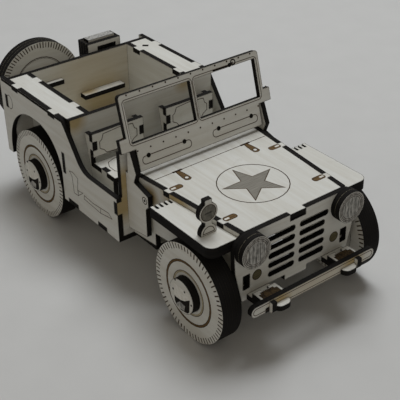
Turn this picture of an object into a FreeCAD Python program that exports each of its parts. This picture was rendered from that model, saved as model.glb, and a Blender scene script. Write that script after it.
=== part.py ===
import FreeCAD, Part
import math
import os
import Sketcher

# Laser-cut plywood toy of a light army 4x4: flat plates of one thickness,
# joined by tabs in slots, with two turning axles.
# Millimetres. +X points forward, +Y to the car's left, +Z up, the ground is z = 0.
# Along X the plates are first drawn from the bonnet's rear edge; every piece is then
# moved by the same amount, so that the middle of the whole length lies at x = 0.

doc = FreeCAD.newDocument("Toy4x4")

SIZES = [
    ("plate", 3.0, "thickness of every plywood plate"),
    # wheels and axles
    ("wheel_radius", 28.4, "tyre"),
    ("front_axle", 58.4, "front axle ahead of the bonnet's hinge line"),
    ("wheel_outset", 1.0, "outer face of a wheel beyond the tub side"),
    ("tyre_ring", 10.0, "tyre from its outside to the groove at the rim"),
    ("hub_radius", 10.0, "raised hub plate"),
    ("hub_proud", 4.4, "hub face beyond the wheel face"),
    ("hub_opening", 9.4, "square opening of the hub"),
    ("rod_radius", 2.5, "round axle rod"),
    ("bore_gap", 0.05, "running fit of the rod in the rails, on the radius"),
    ("arch_gap", 0.6, "tyre to the front edge of the wheel arch"),
    # heights, up and down from the axles
    ("rail_below", 9.4, "underside of the rails below the axles"),
    ("deck_below", 4.4, "underside of the floor plate below the axles"),
    ("grille_above", 1.6, "lower edge of the grille above the axles"),
    ("rail_above", 7.6, "top of the rails above the axles"),
    # chassis
    ("rail_cover", 5.5, "shackle plate beyond the rail's inner face"),
    ("rail_nose", 11.2, "level nose of a rail behind the grille"),
    ("deck_ahead", 19.0, "floor plate ahead of the firewall's face"),
    ("deck_inset", 12.0, "its narrow front part from the tub side"),
    ("deck_tab_rear", 11.0, "rear floor tab"),
    ("deck_tab_rear_start", 3.3, "its rear end from the floor's rear edge"),
    ("deck_tab_front", 9.3, "front floor tab"),
    ("deck_tab_front_end", 9.7, "its front end behind the firewall"),
    # tub
    ("tub_half", 54.0, "outer face of the tub sides from the middle"),
    ("firewall_face", 7.0, "face of the firewall behind the bonnet's hinge line"),
    ("cab_length", 47.0, "between firewall and bulkhead"),
    ("wall_gap", 1.9, "between the bulkhead and a wheel box"),
    ("arch_land", 1.6, "tub side between the wheel arch and the wall's slot"),
    ("arch_behind", 35.1, "rear edge of the wheel arch behind the axle"),
    ("tailgate_behind", 1.0, "rear face of the tailgate behind the wheel arch"),
    ("tub_overhang", 4.9, "tub side beyond the tailgate"),
    ("foot_below", 0.4, "lower end of the tub side behind the wheel, below the axle"),
    ("arch_over", 9.2, "top of the wheel arch above the tyre"),
    ("arch_front_round", 26.0, "front curve of the wheel arch"),
    ("arch_rear_round", 33.0, "rear curve of the wheel arch"),
    ("tub_over", 13.4, "top edge of the tub above the wheel arch"),
    ("sill_below", 26.9, "door sill below the top edge"),
    ("door_foot", 17.0, "foot of the door opening ahead of the bulkhead"),
    ("door_head", 2.5, "head of the door opening behind the bulkhead"),
    ("door_foot_round", 14.0, "curve at the foot of the door opening"),
    ("door_head_round", 9.0, "curve at the head of the door opening"),
    ("well_tab_above", 16.5, "lower end of the wall's tab above the floor"),
    ("well_tab", 13.5, "height of that tab"),
    ("tailgate_tab_below", 9.9, "upper end of the tailgate's tab below the top edge"),
    ("tailgate_tab", 8.5, "height of that tab"),
    ("wheel_box", 18.0, "inner face of a wheel box from the tub side's outer face"),
    ("box_below", 4.0, "lower edge of its inner panel below the cargo floor"),
    ("shelf_tab", 7.5, "length of a shelf tab"),
    ("shelf_tab_rear", 7.6, "rear shelf tab from the tailgate"),
    ("shelf_tab_front", 9.5, "front shelf tab from the bulkhead"),
    # load behind the tailgate
    ("ledge", 3.0, "part of the spare bracket inside the tub"),
    ("bracket_below", 9.7, "spare bracket's top below the tub's top edge"),
    ("bracket_inset", 0.1, "spare bracket from the right wheel box"),
    ("bracket_reach", 10.4, "left side of the spare bracket from the middle of the wheel"),
    ("spare_below", 13.9, "middle of the spare wheel below the tub's top edge"),
    ("spare_standoff", 5.4, "front face of the spare wheel behind the tailgate"),
    ("spare_beside", 25.2, "middle of the spare wheel, to the right"),
    ("spare_ring", 10.9, "tyre of the spare wheel from its outside to the disc"),
    ("tray_below", 24.4, "top of the can tray below the tub's top edge"),
    ("tray_depth", 6.0, "part of the can tray inside the tub"),
    ("tray_inner", 31.0, "width of that part"),
    ("tray_inset", 7.0, "that part from the left wheel box"),
    ("tray_margin", 2.0, "tray beyond the can"),
    ("can_beside", 8.0, "right side of the fuel can, to the left"),
    ("can_width", 25.0, "fuel can across"),
    ("can_height", 30.0, "shoulder of the fuel can above the tray"),
    ("can_handle", 1.6, "handle above the shoulder"),
    ("can_handle_inset", 2.4, "handle ends from the can's sides"),
    ("can_slot", 4.0, "height of the slot below the handle"),
    ("can_slot_drop", 3.0, "that slot below the shoulder"),
    ("can_slot_right", 7.4, "that slot from the can's right side"),
    ("can_slot_left", 3.8, "that slot from the can's left side"),
    # seats
    ("seat_inset", 10.3, "outer side of a seat from the tub side's outer face"),
    ("seat_width", 35.5, "seat across, with its frames"),
    ("seat_depth", 22.0, "seat pan from front to back"),
    ("seat_ahead", 8.0, "rear face of a seat back ahead of the bulkhead"),
    ("pan_above", 24.0, "underside of a seat pan above the floor"),
    ("pan_tab_ahead", 7.7, "rear end of a frame's tab in the pan, from the seat back"),
    ("pan_tab", 5.7, "length of that tab"),
    ("back_above", 3.5, "lower edge of a seat back above the pan"),
    ("back_height", 15.1, "height of a seat back"),
    ("back_tab_above", 4.5, "lower end of a frame's tab above the seat back's lower edge"),
    ("back_tab", 5.5, "height of that tab"),
    ("frame_below", 1.6, "top of a seat frame below the seat back's top"),
    ("frame_behind", 5.0, "top of a seat frame behind the seat back"),
    ("frame_lean", 8.0, "rear foot of a frame ahead of its rear top"),
    ("frame_inset", 2.0, "front edge of a frame behind the pan's front"),
    # cowl and windscreen
    ("firewall_tab_below", 2.5, "upper end of the firewall's tab below the sill"),
    ("firewall_tab", 8.0, "height of that tab"),
    ("horn", 13.5, "firewall's outer horns above the bonnet"),
    ("horn_inset", 3.7, "outer side of a horn from the tub side's outer face"),
    ("cowl_inset", 10.0, "inner face of a cowl side from the tub side's outer face"),
    ("cowl_foot", 35.0, "rear lower corner of a cowl side below the bonnet"),
    ("cowl_foot_rise", 2.8, "slope of its lower edge"),
    ("cowl_depth", 18.0, "front edge of a cowl side ahead of the firewall"),
    ("knuckle", 2.5, "knuckle ahead of that edge"),
    ("knuckle_low", 14.5, "lower end of the knuckle below the bonnet"),
    ("knuckle_high", 5.5, "upper end of the knuckle below the bonnet"),
    ("neck", 7.8, "front edge at the neck, ahead of the firewall"),
    ("neck_below", 2.3, "neck below the bonnet's top"),
    ("brow", 10.2, "front edge at the brow, ahead of the firewall"),
    ("brow_above", 3.7, "brow above the bonnet's top"),
    ("cowl_back", 2.0, "rear edge beside the windscreen, ahead of the firewall"),
    ("cowl_step", 1.5, "lower end of that edge above the bonnet's top"),
    ("screen_ahead", 8.6, "windscreen's front lower edge ahead of the firewall"),
    ("screen_above", 3.2, "windscreen's front lower edge above the bonnet"),
    ("screen_rake", 15.25, "lean of the windscreen, degrees"),
    ("screen_gap", 1.2, "windscreen to each cowl side"),
    ("screen_over", 3.4, "windscreen frame beyond the cowl side's inner face"),
    ("screen_sill", 16.4, "lower edge of the panes"),
    ("screen_pane", 22.6, "height of the panes"),
    ("screen_bar", 4.3, "frame above the panes"),
    ("screen_stile", 3.0, "frame beside a pane"),
    ("screen_post", 2.8, "post between the panes"),
    ("ear", 4.5, "ear beyond the windscreen frame"),
    ("ear_below", 3.7, "lower edge of an ear below the panes"),
    ("ear_height", 7.6, "height of an ear"),
    ("screen_round", 2.0, "corners of the windscreen"),
    # bonnet, engine sides and grille
    ("bonnet_over", 9.7, "top of the bonnet above the tyres"),
    ("bonnet_inset", 13.7, "bonnet's rear corners from the tub side's outer face"),
    ("bonnet_taper", 7.3, "how much narrower the bonnet is on each side at the grille"),
    ("grille_ahead", 20.8, "front face of the grille ahead of the front axle"),
    ("nose_tab", 10.6, "width of the bonnet's tab in the grille"),
    ("bonnet_tab", 4.5, "length of the bonnet's side tabs"),
    ("bonnet_tab_rear", 27.0, "rear side tab from the firewall"),
    ("bonnet_tab_front", 11.4, "front side tab from the grille's rear face"),
    ("engine_side_over", 1.0, "rail's top to the engine side beside the wheel"),
    ("grille_foot", 3.7, "height of the grille's feet"),
    ("grille_foot_width", 5.1, "width of a foot"),
    ("grille_foot_inset", 5.1, "outer side of a foot from the grille's widest part"),
    ("grille_tab", 3.2, "height of the middle tab"),
    ("grille_tab_width", 15.4, "width of the middle tab"),
    ("grille_waist", 15.8, "height of the waist above the grille's lower edge"),
    ("grille_waist_inset", 0.6, "waist from the widest part"),
    ("grille_wing", 8.8, "grille beyond the bonnet"),
    ("grille_round", 9.0, "shoulders of the grille"),
    ("nose_gap", 1.0, "open line below the bonnet's front edge"),
    ("slot_foot", 5.5, "middle of the lowest slot above the grille's lower edge"),
    ("slot_head", 8.8, "middle of the top slot below the bonnet"),
    ("slot_height", 3.3, "height of a slot"),
    ("slot_gap", 3.2, "between the two columns of slots"),
    ("slot_length", 17.7, "length of a slot"),
    ("slot_extra", 2.2, "how much longer the top slots are"),
    ("vent_edge", 5.8, "outer side of a vent from the grille's widest part"),
    ("vent_width", 4.4, "vent below a lamp"),
    ("vent_foot", 3.4, "lower edge of a vent above the grille's lower edge"),
    ("vent_height", 8.6, "height of a vent"),
    ("lamp_below", 8.0, "middle of a headlamp below the bonnet's top"),
    ("lamp_edge", 9.3, "middle of a headlamp from the grille's widest part"),
    ("lamp_radius", 9.2, "headlamp"),
    # fenders
    ("fender_over", 7.1, "top of a fender above the tyres"),
    ("fender_behind", 32.9, "rear edge of a fender behind the front axle"),
    ("fender_ahead", 17.3, "front edge of a fender ahead of the front axle"),
    ("fender_round", 5.0, "front outer corner of a fender"),
    ("lip_width", 3.0, "strip below the fender's edge"),
    ("comb_width", 1.2, "cut in the rear edge of a fender"),
    ("comb_depth", 4.0, "length of such a cut"),
    ("comb_tooth", 1.7, "between such cuts"),
    ("comb_inset", 2.0, "outermost cut from the fender's edge"),
    # marker lamp on the right fender
    ("marker_ahead", 2.6, "rear face of the marker lamp ahead of the axle"),
    ("marker_inset", 8.5, "middle of the marker lamp from the fender's edge"),
    ("marker_foot", 4.9, "radius of its half-round foot"),
    ("marker_foot_height", 6.0, "height of its foot"),
    ("marker_above", 12.5, "middle of the lamp disc above the fender"),
    ("marker_radius", 5.6, "lamp disc"),
    ("marker_neck", 4.4, "width of the neck, which ends in a lug above the disc"),
    ("marker_lug", 2.0, "height of that lug"),
    # bumper and shackles
    ("bumper_ahead", 11.8, "rear face of the bumper ahead of the grille"),
    ("bumper_inset", 11.2, "end of the bumper from the fender's edge"),
    ("bumper_above", 0.4, "lower edge of the bumper above the rails' nose"),
    ("bumper_height", 6.4, "height of the bumper"),
    ("shackle_inset", 9.3, "outer side of a shackle plate from the bumper's end"),
    ("shackle_width", 15.0, "width of a shackle plate"),
    ("shackle_nose", 4.0, "nose of the lower shackle plate ahead of the bumper"),
    ("shackle_setback", 4.3, "rear edge of the upper shackle plate ahead of the grille"),
    ("shackle_notch", 4.6, "width of the notch in that edge"),
    ("shackle_notch_deep", 1.6, "depth of that notch"),
    ("cheek_inset", 2.3, "shackle cheek from the plate's outer side"),
    ("cheek_reach", 2.5, "shackle cheek ahead of the bumper"),
    ("cheek_below", 0.4, "lower end of a cheek below the lower plate"),
    ("cheek_above", 3.2, "upper end of a cheek above that plate"),
    ("cheek_round", 1.8, "lower front corner of a cheek"),
]

sheet = doc.addObject("Spreadsheet::Sheet", "Sizes")


class Size:
    """A dimension: its value, and the sheet formula that gives it."""

    def __init__(self, value, formula):
        self.value = float(value)
        self.formula = formula

    def __add__(self, other):
        other = size(other)
        return Size(self.value + other.value, "(%s + %s)" % (self.formula, other.formula))

    def __sub__(self, other):
        other = size(other)
        return Size(self.value - other.value, "(%s - %s)" % (self.formula, other.formula))

    def __mul__(self, other):
        other = size(other)
        return Size(self.value * other.value, "(%s * %s)" % (self.formula, other.formula))

    def __truediv__(self, other):
        other = size(other)
        return Size(self.value / other.value, "(%s / %s)" % (self.formula, other.formula))

    def __neg__(self):
        return Size(-self.value, "(0 - %s)" % self.formula)

    __radd__ = __add__

    def __rmul__(self, other):
        return self * other

    def __rsub__(self, other):
        return size(other) - self


def size(number):
    """A Size for a plain count or factor, or the Size itself."""
    if isinstance(number, Size):
        return number
    return Size(number, repr(float(number)))


def sine(angle):
    """Sine of an angle in degrees."""
    return Size(math.sin(math.radians(angle.value)), "sin(%s * 1 deg)" % angle.formula)


def cosine(angle):
    """Cosine of an angle in degrees."""
    return Size(math.cos(math.radians(angle.value)), "cos(%s * 1 deg)" % angle.formula)


class Named:
    """The sheet's cells, by name."""


w = Named()
for row, (name, value, meaning) in enumerate(SIZES, start=1):
    sheet.set("A%d" % row, name)
    sheet.set("B%d" % row, repr(value))
    sheet.set("C%d" % row, meaning)
    sheet.setAlias("B%d" % row, name)
    setattr(w, name, Size(value, "Sizes.%s" % name))
doc.recompute()

# Heights above the ground.
axle_z = w.wheel_radius
tyre_top = 2 * w.wheel_radius
rail_bottom = axle_z - w.rail_below
deck_bottom = axle_z - w.deck_below
deck_top = deck_bottom + w.plate
nose_top = deck_top
grille_bottom = axle_z + w.grille_above
rail_top = axle_z + w.rail_above
arch_top = tyre_top + w.arch_over
tub_top = arch_top + w.tub_over
shelf_bottom = tub_top - w.plate
sill_top = tub_top - w.sill_below
bonnet_top = tyre_top + w.bonnet_over
bonnet_bottom = bonnet_top - w.plate
fender_top = tyre_top + w.fender_over
fender_bottom = fender_top - w.plate

# Distances from the middle plane.
side_inner = w.tub_half - w.plate
panel_inner = w.tub_half - w.wheel_box
panel_outer = panel_inner + w.plate
cowl_inner = w.tub_half - w.cowl_inset
wheel_face = w.tub_half + w.wheel_outset
bonnet_half = w.tub_half - w.bonnet_inset
grille_half = bonnet_half - w.bonnet_taper + w.grille_wing
bumper_half = w.tub_half - w.bumper_inset
shackle_outer = bumper_half - w.shackle_inset
shackle_inner = shackle_outer - w.shackle_width
rail_inner = shackle_inner + w.rail_cover

# Places along the car, from front to back; x = 0 is the bonnet's hinge line.
grille_face = w.front_axle + w.grille_ahead
grille_rear = grille_face - w.plate
bumper_rear = grille_face + w.bumper_ahead
bumper_front = bumper_rear + w.plate
shackle_nose = bumper_front + w.shackle_nose
tub_front = -w.firewall_face
fire_rear = tub_front - w.plate
bulkhead_front = fire_rear - w.cab_length
bulkhead_rear = bulkhead_front - w.plate
wall_front = bulkhead_rear - w.wall_gap
wall_rear = wall_front - w.plate
arch_front = wall_rear - w.arch_land
rear_axle = arch_front - w.arch_gap - w.wheel_radius
arch_rear = rear_axle - w.arch_behind
gate_rear = arch_rear - w.tailgate_behind
gate_front = gate_rear + w.plate
tub_rear = gate_rear - w.tub_overhang
spare_face = gate_rear - w.spare_standoff
spare_layers = 3
tail = spare_face - spare_layers * w.plate

# The whole car reaches from the back of the spare wheel to the nose of the shackles.
centring = (shackle_nose + tail) / -2

PLANES = {"XY": "XY_Plane", "XZ": "XZ_Plane", "YZ": "YZ_Plane"}


def bind(thing, path, amount):
    """Binds a property to its sheet formula."""
    thing.setExpression(path, amount.formula)


def dimension(sketch, kind, geometry, point, amount):
    """Adds one driving dimension from the sketch's origin and binds it."""
    index = sketch.addConstraint(Sketcher.Constraint(kind, -1, 1, geometry, point, amount.value))
    sketch.setExpression("Constraints[%d]" % index, amount.formula)


def radius_of(sketch, geometry, amount):
    """Adds a driving radius and binds it."""
    index = sketch.addConstraint(Sketcher.Constraint("Radius", geometry, amount.value))
    sketch.setExpression("Constraints[%d]" % index, amount.formula)


def loop(sketch, points):
    """Closed outline of straight edges through the points."""
    spots = [FreeCAD.Vector(u.value, v.value, 0) for u, v in points]
    count = len(spots)
    edges = [Part.LineSegment(spots[i], spots[(i + 1) % count]) for i in range(count)]
    ids = sketch.addGeometry(edges, False)
    joins = [Sketcher.Constraint("Coincident", ids[i], 2, ids[(i + 1) % count], 1) for i in range(count)]
    sketch.addConstraint(joins)
    for index, (u, v) in zip(ids, points):
        dimension(sketch, "DistanceX", index, 1, u)
        dimension(sketch, "DistanceY", index, 1, v)


def ring(sketch, u, v, radius):
    """Circle about a point."""
    middle = FreeCAD.Vector(u.value, v.value, 0)
    index = sketch.addGeometry(Part.Circle(middle, FreeCAD.Vector(0, 0, 1), radius.value), False)
    dimension(sketch, "DistanceX", index, 3, u)
    dimension(sketch, "DistanceY", index, 3, v)
    radius_of(sketch, index, radius)


def slot(sketch, left, right, v, height):
    """Level slot with round ends between two outermost points."""
    radius = height / 2
    first = FreeCAD.Vector((left + radius).value, v.value, 0)
    second = FreeCAD.Vector((right - radius).value, v.value, 0)
    rise = FreeCAD.Vector(0, radius.value, 0)
    up = FreeCAD.Vector(0, 0, 1)
    ids = sketch.addGeometry([
        Part.ArcOfCircle(Part.Circle(first, up, radius.value), math.pi / 2, 3 * math.pi / 2),
        Part.LineSegment(first - rise, second - rise),
        Part.ArcOfCircle(Part.Circle(second, up, radius.value), -math.pi / 2, math.pi / 2),
        Part.LineSegment(second + rise, first + rise),
    ], False)
    sketch.addConstraint([
        Sketcher.Constraint("Tangent", ids[0], 2, ids[1], 1),
        Sketcher.Constraint("Tangent", ids[1], 2, ids[2], 1),
        Sketcher.Constraint("Tangent", ids[2], 2, ids[3], 1),
        Sketcher.Constraint("Tangent", ids[3], 2, ids[0], 1),
        Sketcher.Constraint("Equal", ids[0], ids[2]),
    ])
    for index, u in ((ids[0], left + radius), (ids[2], right - radius)):
        dimension(sketch, "DistanceX", index, 3, u)
        dimension(sketch, "DistanceY", index, 3, v)
    radius_of(sketch, ids[0], radius)


def draw(body, plane, level, shapes):
    """Sketch on one of the body's own planes, at a level along that plane's axis."""
    sketch = body.newObject("Sketcher::SketchObject", body.Name + "_outline")
    support = [f for f in body.Origin.OriginFeatures if f.Role == PLANES[plane]][0]
    sketch.AttachmentSupport = [(support, "")]
    sketch.MapMode = "FlatFace"
    depth = -level if plane == "XZ" else level
    bind(sketch, "AttachmentOffset.Base.z", depth)
    for shape in shapes:
        if shape[0] == "ring":
            ring(sketch, *shape[1:])
        elif shape[0] == "slot":
            slot(sketch, *shape[1:])
        else:
            loop(sketch, shape[1])
    return sketch


def pad(body, plane, low, thick, shapes):
    """Solid between two levels along the plane's axis, from closed shapes."""
    level = low + thick if plane == "XZ" else low
    feature = body.newObject("PartDesign::Pad", body.Name + "_pad")
    feature.Profile = draw(body, plane, level, shapes)
    bind(feature, "Length", thick)
    return feature


def pocket(body, plane, low, thick, shapes):
    """Cut between two levels along the plane's axis; it must remove something."""
    doc.recompute()
    before = body.Shape.Volume
    level = low if plane == "XZ" else low + thick
    feature = body.newObject("PartDesign::Pocket", body.Name + "_pocket")
    feature.Profile = draw(body, plane, level, shapes)
    bind(feature, "Length", thick)
    doc.recompute()
    if body.Shape.Volume >= before - 1e-6:
        raise RuntimeError("a pocket of %s cuts nothing" % body.Label)
    return feature


def new_body(label):
    """Empty body whose X place centres the whole car on its origin."""
    body = doc.addObject("PartDesign::Body", label)
    body.Label = label
    bind(body, "Placement.Base.x", centring)
    return body


def plate(label, plane, low, shapes, thick=w.plate):
    """One flat plate of plywood."""
    body = new_body(label)
    pad(body, plane, low, thick, shapes)
    return body


def round_corners(body, plane, corners, radius):
    """Rounds the plate's corners that stand at the given points of its outline."""
    doc.recompute()
    base = body.Tip
    names = []
    for u, v in corners:
        for number, edge in enumerate(base.Shape.Edges, start=1):
            if len(edge.Vertexes) == 2 and runs_through(edge, plane, u.value, v.value):
                names.append("Edge%d" % number)
    if len(names) != len(corners):
        raise RuntimeError("%s has %d of %d corners" % (body.Label, len(names), len(corners)))
    fillet = body.newObject("PartDesign::Fillet", body.Name + "_round")
    fillet.Base = (base, names)
    bind(fillet, "Radius", radius)
    return fillet


def runs_through(edge, plane, u, v):
    """Whether both ends of an edge lie at (u, v) as seen along the plane's axis."""
    for vertex in edge.Vertexes:
        spot = vertex.Point
        seen = {"XY": (spot.x, spot.y), "XZ": (spot.x, spot.z), "YZ": (spot.y, spot.z)}[plane]
        if abs(seen[0] - u) > 1e-4 or abs(seen[1] - v) > 1e-4:
            return False
    return True


def box_of(left, right, low, high):
    """Rectangle as a closed outline."""
    return ("loop", [(left, low), (right, low), (right, high), (left, high)])


def both_sides(points):
    """Closed outline symmetric about u = 0, from its points with u above 0, bottom first."""
    return ("loop", points + [(-u, v) for u, v in reversed(points)])


def both_flanks(points):
    """Closed outline symmetric about v = 0, from its points with v above 0."""
    return ("loop", points + [(u, -v) for u, v in reversed(points)])


def mirrored(label, source):
    """The same plate on the other side of the car."""
    twin = doc.addObject("Part::Mirroring", label)
    twin.Label = label
    twin.Source = source
    twin.Normal = FreeCAD.Vector(0, 1, 0)
    return twin


def group(label, members):
    """Like pieces that share one node."""
    node = doc.addObject("Part::Compound", label)
    node.Label = label
    node.Links = members
    return node


def pair(label, source):
    """A plate and its mirror image in one node."""
    return group(label, [source, mirrored(label + "_twin", source)])


rim_radius = w.wheel_radius - w.tyre_ring
spare_rim_radius = w.wheel_radius - w.spare_ring

nodes = []

# Chassis rails: upright plates under the floor, bored for both axle rods.
rail_step = grille_face - w.rail_nose
deck_front = tub_front + w.deck_ahead
rail = plate("rail_right", "XZ", -rail_inner - w.plate, [
    ("loop", [
        (gate_front, rail_bottom + w.plate), (rear_axle, rail_bottom), (w.front_axle, rail_bottom),
        (bumper_rear, deck_bottom), (bumper_rear, nose_top), (rail_step, nose_top),
        (rail_step, rail_top), (deck_front, rail_top), (deck_front, deck_bottom),
        (wall_rear, deck_bottom), (wall_rear, rail_top), (gate_front, rail_top),
    ]),
    ("ring", w.front_axle, axle_z, w.rod_radius + w.bore_gap),
    ("ring", rear_axle, axle_z, w.rod_radius + w.bore_gap),
])
nodes += [rail, mirrored("rail_left", rail)]

# Floor plate: its tabs show in the lower edge of the tub sides.
tab_1 = wall_rear + w.deck_tab_rear_start
tab_2 = tab_1 + w.deck_tab_rear
tab_4 = fire_rear - w.deck_tab_front_end
tab_3 = tab_4 - w.deck_tab_front
floor_left = [
    (deck_front, w.tub_half - w.deck_inset), (tub_front, w.tub_half - w.deck_inset),
    (tub_front, side_inner), (tab_4, side_inner), (tab_4, w.tub_half), (tab_3, w.tub_half),
    (tab_3, side_inner), (tab_2, side_inner), (tab_2, w.tub_half), (tab_1, w.tub_half),
    (tab_1, side_inner), (wall_rear, side_inner),
]
deck = plate("floor_plate", "XY", deck_bottom, [both_flanks(floor_left)])
nodes.append(deck)

cargo_floor = plate("cargo_floor", "XY", rail_top, [
    box_of(gate_front, bulkhead_rear, -panel_inner, panel_inner),
])
nodes.append(cargo_floor)

# Tub sides: door opening, wheel arch, and slots for the plates that cross them.
shelf_1 = gate_front + w.shelf_tab_rear
shelf_2 = shelf_1 + w.shelf_tab
shelf_4 = bulkhead_rear - w.shelf_tab_front
shelf_3 = shelf_4 - w.shelf_tab
fire_tab_high = sill_top - w.firewall_tab_below
fire_tab_low = fire_tab_high - w.firewall_tab
well_tab_low = deck_top + w.well_tab_above
gate_tab_high = tub_top - w.tailgate_tab_below
gate_tab_low = gate_tab_high - w.tailgate_tab
tub_foot = axle_z - w.foot_below
arch_corner_front = (arch_front, arch_top)
arch_corner_rear = (arch_rear, arch_top)
door_corner_low = (bulkhead_rear + w.door_foot, sill_top)
door_corner_high = (bulkhead_rear - w.door_head, tub_top)
tub_side = plate("tub_side_right", "XZ", -w.tub_half, [
    ("loop", [
        (tub_front, deck_bottom), (tub_front, fire_tab_low), (fire_rear, fire_tab_low),
        (fire_rear, fire_tab_high), (tub_front, fire_tab_high), (tub_front, sill_top),
        door_corner_low, door_corner_high,
        (shelf_4, tub_top), (shelf_4, shelf_bottom), (shelf_3, shelf_bottom), (shelf_3, tub_top),
        (shelf_2, tub_top), (shelf_2, shelf_bottom), (shelf_1, shelf_bottom), (shelf_1, tub_top),
        (tub_rear, tub_top), (tub_rear, tub_foot), (arch_rear, tub_foot),
        arch_corner_rear, arch_corner_front, (arch_front, deck_bottom),
        (tab_1, deck_bottom), (tab_1, deck_top), (tab_2, deck_top), (tab_2, deck_bottom),
        (tab_3, deck_bottom), (tab_3, deck_top), (tab_4, deck_top), (tab_4, deck_bottom),
    ]),
    box_of(wall_rear, wall_front, well_tab_low, well_tab_low + w.well_tab),
    box_of(gate_rear, gate_front, gate_tab_low, gate_tab_high),
])
round_corners(tub_side, "XZ", [arch_corner_front], w.arch_front_round)
round_corners(tub_side, "XZ", [arch_corner_rear], w.arch_rear_round)
round_corners(tub_side, "XZ", [door_corner_low], w.door_foot_round)
round_corners(tub_side, "XZ", [door_corner_high], w.door_head_round)
nodes += [tub_side, mirrored("tub_side_left", tub_side)]

# Box over each rear wheel: inner panel, front wall and shelf.
panel_bottom = rail_top - w.box_below
arch_panel = plate("arch_panel_right", "XZ", -panel_outer, [
    ("loop", [
        (gate_front, panel_bottom), (bulkhead_rear, panel_bottom), (bulkhead_rear, tub_top),
        (shelf_4, tub_top), (shelf_4, shelf_bottom), (shelf_3, shelf_bottom), (shelf_3, tub_top),
        (shelf_2, tub_top), (shelf_2, shelf_bottom), (shelf_1, shelf_bottom), (shelf_1, tub_top),
        (gate_front, tub_top),
    ]),
])
nodes += [arch_panel, mirrored("arch_panel_left", arch_panel)]

shelf = plate("shelf_right", "XY", shelf_bottom, [
    ("loop", [
        (gate_front, -panel_outer), (gate_front, -side_inner),
        (shelf_1, -side_inner), (shelf_1, -w.tub_half), (shelf_2, -w.tub_half), (shelf_2, -side_inner),
        (shelf_3, -side_inner), (shelf_3, -w.tub_half), (shelf_4, -w.tub_half), (shelf_4, -side_inner),
        (bulkhead_rear, -side_inner), (bulkhead_rear, -panel_outer),
        (shelf_4, -panel_outer), (shelf_4, -panel_inner), (shelf_3, -panel_inner), (shelf_3, -panel_outer),
        (shelf_2, -panel_outer), (shelf_2, -panel_inner), (shelf_1, -panel_inner), (shelf_1, -panel_outer),
    ]),
])
nodes += [shelf, mirrored("shelf_left", shelf)]

well_wall = plate("well_wall_right", "YZ", wall_rear, [
    ("loop", [
        (-side_inner, deck_top), (-panel_outer, deck_top), (-panel_outer, shelf_bottom),
        (-side_inner, shelf_bottom), (-side_inner, well_tab_low + w.well_tab),
        (-w.tub_half, well_tab_low + w.well_tab), (-w.tub_half, well_tab_low), (-side_inner, well_tab_low),
    ]),
])
nodes.append(pair("well_walls", well_wall))

bulkhead = plate("bulkhead", "YZ", bulkhead_rear, [box_of(-side_inner, side_inner, deck_top, tub_top)])
nodes.append(bulkhead)

# Tailgate with the slots of the spare bracket and the can tray.
bracket_top = tub_top - w.bracket_below
bracket_bottom = bracket_top - w.plate
spare_y = -w.spare_beside
spare_z = tub_top - w.spare_below
bracket_right = w.bracket_inset - panel_inner
bracket_left = spare_y + w.bracket_reach
tray_top = tub_top - w.tray_below
tray_bottom = tray_top - w.plate
can_right = w.can_beside
can_left = can_right + w.can_width
tray_left = panel_inner - w.tray_inset
gate_bottom = grille_bottom
tailgate = plate("tailgate", "YZ", gate_rear, [
    both_sides([
        (side_inner, gate_bottom), (side_inner, gate_tab_low), (w.tub_half, gate_tab_low),
        (w.tub_half, gate_tab_high), (side_inner, gate_tab_high), (side_inner, tub_top),
    ]),
    box_of(bracket_right, bracket_left, bracket_bottom, bracket_top),
    box_of(can_right, tray_left, tray_bottom, tray_top),
])
nodes.append(tailgate)

half_opening = w.hub_opening / 2
spare_bracket = plate("spare_bracket", "XY", bracket_bottom, [
    ("loop", [
        (gate_front + w.ledge, bracket_right), (gate_front + w.ledge, bracket_left),
        (spare_face, bracket_left), (spare_face, spare_y + half_opening),
        (tail, spare_y + half_opening), (tail, spare_y - half_opening),
        (spare_face, spare_y - half_opening), (spare_face, bracket_right),
    ]),
])
nodes.append(spare_bracket)

spare_tyre = plate("spare_tyre", "YZ", tail, [
    ("ring", spare_y, spare_z, w.wheel_radius),
    ("ring", spare_y, spare_z, spare_rim_radius),
], thick=spare_layers * w.plate)
spare_rim = plate("spare_rim", "YZ", tail, [
    ("ring", spare_y, spare_z, spare_rim_radius),
    box_of(spare_y - half_opening, spare_y + half_opening,
           spare_z - half_opening, spare_z + half_opening),
], thick=spare_layers * w.plate)
nodes += [spare_tyre, spare_rim]

# Fuel can of four layers; the two in the middle rise into the handle.
can_layers = 4
can_rear = gate_rear - can_layers * w.plate
can_top = tray_top + w.can_height
can_tray = plate("can_tray", "XY", tray_bottom, [
    ("loop", [
        (gate_front + w.tray_depth, tray_left - w.tray_inner), (gate_front + w.tray_depth, tray_left),
        (gate_rear, tray_left), (gate_rear, can_left + w.tray_margin),
        (can_rear, can_left + w.tray_margin), (can_rear, can_right - w.tray_margin),
        (gate_rear, can_right - w.tray_margin), (gate_rear, can_right),
        (gate_front, can_right), (gate_front, tray_left - w.tray_inner),
    ]),
])
nodes.append(can_tray)

handle_right = can_right + w.can_handle_inset
handle_left = can_left - w.can_handle_inset
slot_top = can_top - w.can_slot_drop
fuel_can = new_body("fuel_can")
pad(fuel_can, "YZ", can_rear, can_layers * w.plate, [box_of(can_right, can_left, tray_top, can_top)])
pad(fuel_can, "YZ", can_rear + w.plate, 2 * w.plate, [
    box_of(handle_right, handle_left, can_top - w.plate, can_top + w.can_handle),
])
pocket(fuel_can, "YZ", can_rear, can_layers * w.plate, [
    box_of(can_right + w.can_slot_right, can_left - w.can_slot_left, slot_top - w.can_slot, slot_top),
])
nodes.append(fuel_can)

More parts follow.
